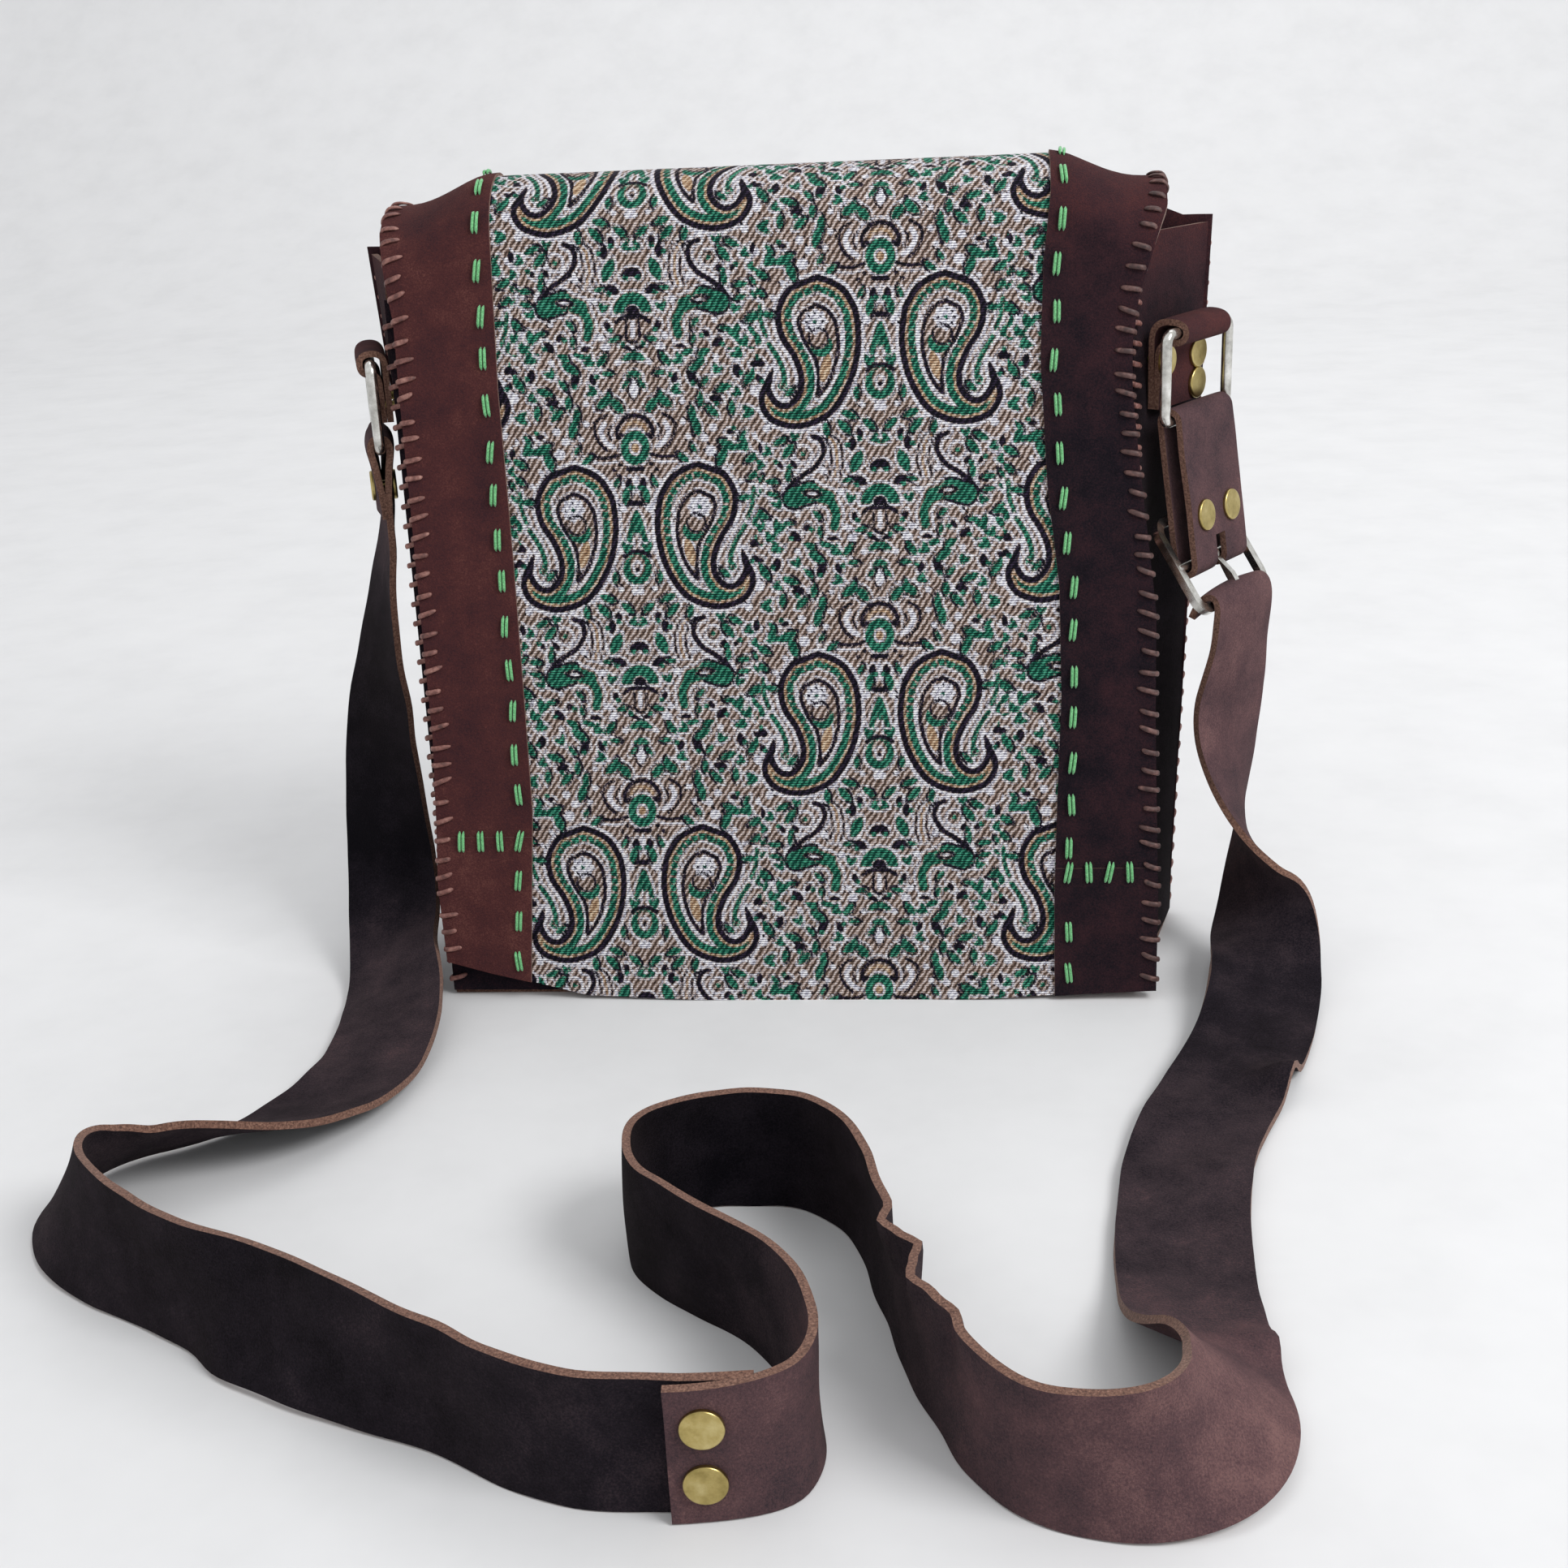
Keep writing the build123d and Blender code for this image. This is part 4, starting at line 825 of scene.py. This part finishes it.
def mainMotifs(a, b):
    # one repeat, folded on its axis: a is the distance from the axis and b the height over the paisleys
    fields = {key: np.full(a.shape, blank) for key in ("dark", "green", "pale", "cream")}
    clearance = np.full(a.shape, 99.0)

    def put(key, d):
        fields[key] = np.minimum(fields[key], d)

    def cut(key, d):
        fields[key] = np.maximum(fields[key], -d)

    def keep(d):
        np.minimum(clearance, d, out=clearance)

    y = 23.4 - b
    d, reach = outlineField(a, y, closedCurve(paisley))
    keep(d - 1.4)
    frill = np.abs(np.sin(reach * math.pi / 3.05))
    put("pale", band(d, 0.1, 1.25))
    put("dark", band(d, -1.9, 0.1))
    put("cream", band(d, -2.45 - 0.5 * frill, -1.9))
    teeth = band(d, -4.9, -2.5 - 0.3 * frill)
    put("green", np.where(y < 27, np.maximum(teeth, 0.6 - 2.0 * frill), teeth))
    put("pale", band(d, -5.7, -4.9))
    drop, reach = outlineField(a, y, closedCurve(teardrop))
    put("pale", band(drop, 0.15, 0.9))
    put("dark", band(drop, -1.1, 0.15))
    flower = np.hypot(a - 20.3, y - 14.2)
    angle = np.arctan2(y - 14.2, a - 20.3)
    put("pale", flower - 3.7 - 0.5 * np.cos(8 * angle))
    put("dark", np.abs(flower - 2.5) - 0.75 + 1.1 * np.abs(np.sin(4 * angle)))
    put("green", flower - 0.8)
    put("green", np.maximum(disc(a, y, 18.2, 21.4, 3.5), -disc(a, y, 19.2, 19.2, 3.4)))
    put("dark", np.where(drop < -0.6, band(disc(a, y, 19.2, 19.2, 3.4), -0.9, 0.0), blank))
    tear = leaf(a, y, 17.0, 28.4, 4.9, 1.6, 76)
    put("cream", tear)
    put("pale", band(tear, 0.0, 0.8))

    # curling vines beside the tail and behind the head
    for width, points in ((1.5, [(34.8, 20.4), (31.6, 25.4), (30.0, 30.4), (30.4, 33.6)]),
                          (1.3, [(37.6, 8.5), (37.2, 13.5), (35.6, 18.0)])):
        d = stroke(a, y, points, width)
        put("green", d)
        put("pale", band(d, 0.1, 1.0))
        keep(d - 1.1)
    put("green", disc(a, y, 30.5, 33.3, 1.5))
    cut("green", disc(a, y, 30.5, 33.4, 0.6))
    put("dark", disc(a, y, 30.5, 33.4, 0.6))

    # small ornaments on the axis between the two halves of a pair
    put("pale", stroke(a, y, [(0, 7.6), (1.5, 10.6), (2.6, 13.0), (0, 12.6)], 0.9))
    put("dark", np.maximum(np.abs(y - 12.6) - 0.9, a - 2.3))
    d = np.maximum(stroke(a, y, [(0, 15.6), (1.4, 19.6), (2.6, 24.4)], 1.7), y - 24.8)
    put("green", d)
    put("green", stroke(a, y, [(0, 18.5), (0, 21.6)], 1.6))
    put("pale", band(d, 0.1, 0.9))
    keep(d - 1)
    put("dark", stroke(a, y, [(0, 28.0), (2.4, 28.2), (4.0, 29.4)], 1.6))
    cup = np.hypot(a / 4.6, (y - 33.4) / 5.0) * 4.6 - 4.6
    put("green", np.maximum(cup, -(np.hypot(a / 2.4, (y - 32.4) / 3.4) * 2.4 - 2.4)))
    put("pale", band(cup, 0.1, 0.9))
    put("pale", stroke(a, y, [(0, 31.0), (1.4, 32.4), (0, 36.0)], 0.9))
    put("dark", disc(a, y, 0, 33.6, 0.8))
    keep(cup - 1)

    # palmette above the pair
    p = 34.0 - b
    for key, width, points in palmette:
        put(key, stroke(a, p, points, width))
    core = np.hypot(a, (p - 5.8) * 0.85)
    put("green", band(core, 2.1, 4.6))
    put("pale", band(core, 1.2, 2.1))
    put("pale", band(core, 4.6, 5.4))
    put("cream", core - 1.2)
    put("dark", np.maximum(np.abs(p - 12.4) - 0.8, a - 3.0))
    put("dark", disc(a, p, 4.9, 10.8, 0.8))
    put("dark", disc(a, p, 6.8, 12.6, 0.8))
    for spot, turn in (((5.4, -7.4), -52), ((9.6, -8.6), 40)):
        bud = leaf(a, p, *spot, 3.0, 1.5, turn)
        put("green", bud)
        put("dark", band(bud, 0.0, 0.7))
        put("pale", band(bud, 0.7, 1.4))
    bud = leaf(a, p, 0, -12.6, 3.4, 1.6, 90)
    put("pale", bud)
    put("dark", band(bud, 0.0, 0.7))
    keep(np.hypot(a / 15.0, (p - 2.0) / 13.5) * 13.5 - 13.5)

    # cluster half a repeat away: a green dome over a dark anchor, a comma and a plume
    q = (-48.6 - b + half) % brocade["period"] - half
    dome = np.maximum(disc(a, q, 0, -1.6, 6.1), q + 1.4)
    put("green", np.maximum(dome, 0.5 - np.hypot(a, q + 1.6) + 2.0))
    put("pale", band(dome, 0.1, 1.0))
    cut("green", disc(a, q, 0, -1.6, 2.5))
    put("pale", np.maximum(band(disc(a, q, 0, -1.6, 2.2), 0.0, 0.8), q + 1.2))
    put("dark", np.maximum(disc(a, q, 0, -1.6, 2.2), q + 1.2))
    put("dark", stroke(a, q, [(0, -0.2), (3.0, -0.1), (5.4, 1.4)], 1.4))
    put("dark", stroke(a, q, [(1.9, 1.4), (2.0, 6.2), (0, 7.9)], 1.0))
    put("pale", stroke(a, q, [(0, 1.4), (0, 5.8)], 1.5))
    keep(np.hypot(a / 7.0, (q + 0.4) / 9.0) * 7.0 - 7.0)
    comma = np.minimum.reduce([stroke(a, q, points, width) for width, points in (
        (6.2, [(27.2, -3.8), (22.0, -5.4)]), (4.4, [(22.0, -5.4), (16.4, -3.6)]),
        (2.7, [(16.4, -3.6), (13.9, 1.0), (14.4, 5.6)]))])
    put("green", comma)
    put("dark", np.where(a > 20, band(comma, -0.4, 0.9), blank))
    put("pale", band(comma, 0.6, 1.5))
    eye = leaf(a, q, 21.4, -5.0, 3.6, 1.5, -8)
    cut("green", eye)
    put("dark", band(eye, -0.9, 0.2))
    put("pale", eye + 0.9)
    keep(comma - 1.6)
    plume = stroke(a, q, [(29.4, -6.6), (25.0, -10.4), (20.6, -13.2), (17.8, -17.6), (18.6, -21.6),
                          (21.2, -22.8)], 1.5)
    put("dark", plume)
    put("pale", band(plume, 0.1, 1.1))
    keep(plume - 1.2)
    for key, at in (("dark", 15.6), ("cream", 13.8), ("dark", 12.0)):
        d = stroke(a, q, [(at + 0.8, -9.6), (at - 0.4, -14.6), (at + 0.6, -20.6), (at + 2.6, -22.6)], 0.75)
        put(key, d)
        put("pale", band(d, 0.1, 0.7))
        keep(d - 0.9)
    spiral = np.hypot(a - 24.2, q + 17.4)
    put("pale", band(spiral, 2.2, 3.2))
    put("dark", band(spiral, 1.4, 1.9))
    put("green", spiral - 0.9)
    keep(spiral - 3.6)
    wing = leaf(a, q, 7.4, -14.6, 4.0, 1.8, 66)
    put("green", wing)
    put("pale", band(wing, 0.1, 0.9))
    keep(wing - 1.1)
    return fields, clearance


def weaveFields(x, s):
    axis = brocade["axis"] - brocade["drift"] * (brocade["driftFrom"] - s)
    column = np.round((x - axis) / brocade["spacing"])
    a = np.abs(x - axis - column * brocade["spacing"])
    pair = brocade["pairTop"] + np.where(column % 2 == 0, 0, half + brocade["stagger"])
    b = (s - pair + half) % brocade["period"] - half
    fields, clearance = mainMotifs(a, b)

    # filler: leaves, florets and sprigs scattered between the main motifs
    rng = np.random.default_rng(77)
    tries = rng.uniform((0.4, -half), (brocade["spacing"] / 2, half), (5000, 2))
    room = mainMotifs(tries[:, 0], tries[:, 1])[1]
    placed = []
    for (ca, cb), free in zip(tries, room):
        if free > 0.7 and all(math.hypot(ca - pa, cb - pb) > brocade["apart"] for pa, pb, f in placed):
            placed.append((ca, cb, free))

    def lay(key, d):
        fields[key][near] = np.minimum(fields[key][near], d)

    for i, (ca, cb, free) in enumerate(placed):
        turn = rng.uniform(0, 180)
        size = min(rng.uniform(1.5, 2.9), free + 1.3)
        near = (np.abs(a - ca) < 7) & (np.abs(b - cb) < 7)
        na, nb = a[near], b[near]
        kind = i % 5
        if kind in (0, 3):
            d = leaf(na, nb, ca, cb, size * 1.25, size * 0.5, turn)
            lay("green", d)
            lay("pale", band(d, 0.1, 0.8))
            lay("dark", np.maximum(band(d, -0.2, 0.85), na - ca))
        elif kind == 1:
            r = np.hypot(na - ca, nb - cb)
            w = np.arctan2(nb - cb, na - ca)
            lay("pale", r - size * 0.62)
            lay("dark", np.abs(r - size * 0.72) - 0.7 + 1.2 * np.abs(np.sin(2.5 * w + turn)))
        elif kind == 2:
            for way in (turn - 32, turn + 32):
                da, db = 1.2 * math.cos(math.radians(way)), 1.2 * math.sin(math.radians(way))
                d = leaf(na, nb, ca + da, cb + db, size * 0.95, size * 0.4, way)
                lay("green", d)
                lay("pale", band(d, 0.1, 0.8))
            lay("dark", disc(na, nb, ca, cb, 0.75))
        else:
            d = leaf(na, nb, ca, cb, size * 0.9, size * 0.5, turn)
            lay("dark", d)
            lay("pale", band(d, 0.1, 0.9))
            lay("green", disc(na, nb, ca + 1.6 * math.cos(turn), cb + 1.6 * math.sin(turn), 0.95))
    print("filler motifs", len(placed))
    return fields


# laid from right to left, so its faces are turned to the front
x, s, grid = flapSheet(rightInner, leftInner, 0, flap["reach"], brocade["rows"], brocade["columns"],
                       brocade["depth"])
form = bmesh.new()
addSheet(form, grid)
bmesh.ops.reverse_faces(form, faces=form.faces[:])
cloth = formMesh("brocade", form)
makePiece("brocade", cloth, [weave], ("flap",), ["flap_brocade"])
for key, field in weaveFields(x, s).items():
    values = np.clip(field, -4, 4).astype(np.float32).ravel()
    cloth.attributes.new(key, "FLOAT", "POINT").data.foreach_set("value", values)
corners = np.zeros(len(cloth.loops), dtype=np.int32)
cloth.loops.foreach_get("vertex_index", corners)
places = (np.stack([x, s], axis=-1).reshape(-1, 2) * metre).astype(np.float32)
cloth.uv_layers.new(name="UVMap").data.foreach_set("uv", places[corners].ravel())
print("brocade made")

# tabs, each drawn in the upright plane through its ring's hinge, as (distance off the gusset, height)
tabs = dict(width=27.5, thick=2.0, columns=10, loop=3.2, back=2.4, front=4.5, bend=194.0)
leftTab = dict(label="left", joint="left_ring_swing", off=7.0, foot=186.0, rise=200.0)
rightTab = dict(label="right", joint="right_ring_swing", off=11.0, foot=183.0, rise=198.0)


def sidePlane(tab):
    # where a tab's plane starts and which way it leads, away from the bag
    ax, ay = joints[tab["joint"]]["axis"][:2]
    leads = np.array([-ay, ax, 0.0])
    start = np.array(joints[tab["joint"]]["pos_m"]) / metre - leads * tab["off"]
    return start * [1, 1, 0], leads


def sideRibbon(tab, spots, width, columns, wave, seed):
    start, leads = sidePlane(tab)
    line = start + leads * spots[:, :1] + np.array(upright) * spots[:, 1:]
    across = np.tile([-leads[1], leads[0], 0.0], (len(line), 1))
    return ribbonGrid(line, across, width, columns, wave, seed)[0]


for tab in (leftTab, rightTab):
    pivot, loop = joints[tab["joint"]]["pos_m"][2] / metre, tabs["loop"]
    spots = [(tabs["back"], tab["foot"]), (tabs["back"], tab["rise"]), (tabs["back"], pivot + loop),
             (tab["off"] + loop, pivot + loop), (tab["off"] + loop, pivot - loop),
             (tabs["front"], pivot - loop), (tabs["front"], tabs["bend"]), (tabs["front"], tab["foot"])]
    spots = splineLine([(off, z, 0) for off, z in spots], 9)[:, :2]
    grid = sideRibbon(tab, spots, tabs["width"], tabs["columns"], 0.15, 51)
    # the tabs' suede gets an even painted sheen
    slab(tab["label"] + "Tab", grid, tabs["thick"] / 2, tabs["thick"] / 2, [suede, rawEdge], ("bag",),
         [tab["label"] + "_tab"], 0.62)

# buckle tab, a closed loop from the right ring to the buckle, with a slot for the prong at its lower end
belt = dict(width=34.0, thick=2.0, columns=18, loop=3.2, slot=4.0, slotReach=8.0)
start, leads = sidePlane(rightTab)
pivots = [np.array(joints[name]["pos_m"]) / metre for name in ("buckle_tab_swing", "buckle_swing")]
top, low = (np.array([(pivot - start) @ leads, pivot[2]]) for pivot in pivots)
run = unit(low - top)
outer = np.array([-run[1], run[0]])
turn = np.linspace(0, math.pi, 15)[:, None]
overTop = top - outer * belt["loop"] * np.cos(turn) - run * belt["loop"] * np.sin(turn)
underLow = low + outer * belt["loop"] * np.cos(turn) + run * belt["loop"] * np.sin(turn)
middle = (top + low) / 2 - outer * belt["loop"]
leg = np.linspace(0, 1, 14)[:, None]
beltLine = np.concatenate([middle + (overTop[0] - middle) * leg[:-1], overTop,
                           overTop[-1] + (underLow[0] - overTop[-1]) * leg[1:-1], underLow,
                           underLow[-1] + (middle - underLow[-1]) * leg[1:]])
slotRows = np.linalg.norm((beltLine[:-1] + beltLine[1:]) / 2 - low, axis=1) < belt["slotReach"]
edges = np.linspace(-belt["width"] / 2, belt["width"] / 2, belt["columns"])
slotColumns = np.abs(edges[:-1] + edges[1:]) / 2 < belt["slot"] / 2 + 0.3
# the buckle tab's suede gets an even painted sheen
slab("buckleTab", sideRibbon(rightTab, beltLine, belt["width"], belt["columns"], 0.12, 57), belt["thick"] / 2,
     belt["thick"] / 2, [strapSuede, rawEdge], ("buckle_tab",), ["buckle_tab"], 0.68,
     slotRows[:, None] & slotColumns[None])

metals = {silver: ("left_ring", "right_ring", "buckle_frame", "buckle_prong"),
          brass: ("left_tab_rivets", "right_tab_rivets", "buckle_tab_rivets", "strap_left_rivet",
                  "strap_joint_rivets")}
for material, nodeNames in metals.items():
    for nodeName in nodeNames:
        data = frame["nodes"][nodeName].data
        data.materials.clear()
        data.materials.append(material)
print("tabs and metal made")

# pale matt table that sweeps up into a wall behind the bag
table = dict(reach=2600.0, turnAt=1500.0, bend=900.0, height=2400.0)
sweep = [(-table["reach"], 0.0), (table["turnAt"], 0.0)]
sweep += [(table["turnAt"] + table["bend"] * math.sin(k), table["bend"] * (1 - math.cos(k)))
          for k in np.linspace(0, math.pi / 2, 13)[1:]]
sweep += [(table["turnAt"] + table["bend"], table["height"])]
form = bmesh.new()
addSheet(form, np.array([[(side * table["reach"], y, z) for side in (-1, 1)] for y, z in sweep]))
paper = grainMaterial("paleTable", "#dadadb", "#dededf", "#e1e1e2", 60.0, 0.85, 0.01)
floor = makeObject("floor", formMesh("floor", form), [paper])

scene = bpy.context.scene
scene.view_settings.view_transform = "Standard"
world = bpy.data.worlds.new("studio")
scene.world = world
world.use_nodes = True
sky = world.node_tree.nodes["Background"]
fillSockets(world.node_tree, sky, {"Color": shade("#f2f3f4"), "Strength": 0.86})


def areaLight(name, place, aim, size, power):
    # places in metres, power in watts
    data = bpy.data.lights.new(name, "AREA")
    data.size = size
    data.energy = power
    made = bpy.data.objects.new(name, data)
    scene.collection.objects.link(made)
    ahead = np.array(aim, float) - np.array(place, float)
    made.location = place
    tilt, heading = math.acos(-ahead[2] / np.linalg.norm(ahead)), math.atan2(ahead[1], ahead[0])
    made.rotation_euler = (tilt, 0, heading - math.pi / 2)


areaLight("keyLight", (1.1, -0.7, 1.3), (0, 0, 0.1), 0.7, 17.0)
areaLight("wallLight", (0.3, 1.2, 2.0), (0.2, 2.2, 0.3), 1.6, 13.0)

view = dict(lens=44.72, sensor=36.0, place=(59.4, -607.9, 298.4), azimuth=5.76, pitch=21.05, roll=2.78)
cameraData = bpy.data.cameras.new("photoCamera")
cameraData.lens = view["lens"]
cameraData.sensor_width = view["sensor"]
cameraData.clip_start = 0.02
camera = bpy.data.objects.new("photoCamera", cameraData)
scene.collection.objects.link(camera)
camera.matrix_world = (Matrix.Translation([v * metre for v in view["place"]])
                       @ Matrix.Rotation(math.radians(view["azimuth"]), 4, "Z")
                       @ Matrix.Rotation(math.radians(90 - view["pitch"]), 4, "X")
                       @ Matrix.Rotation(math.radians(-view["roll"]), 4, "Z"))
scene.camera = camera
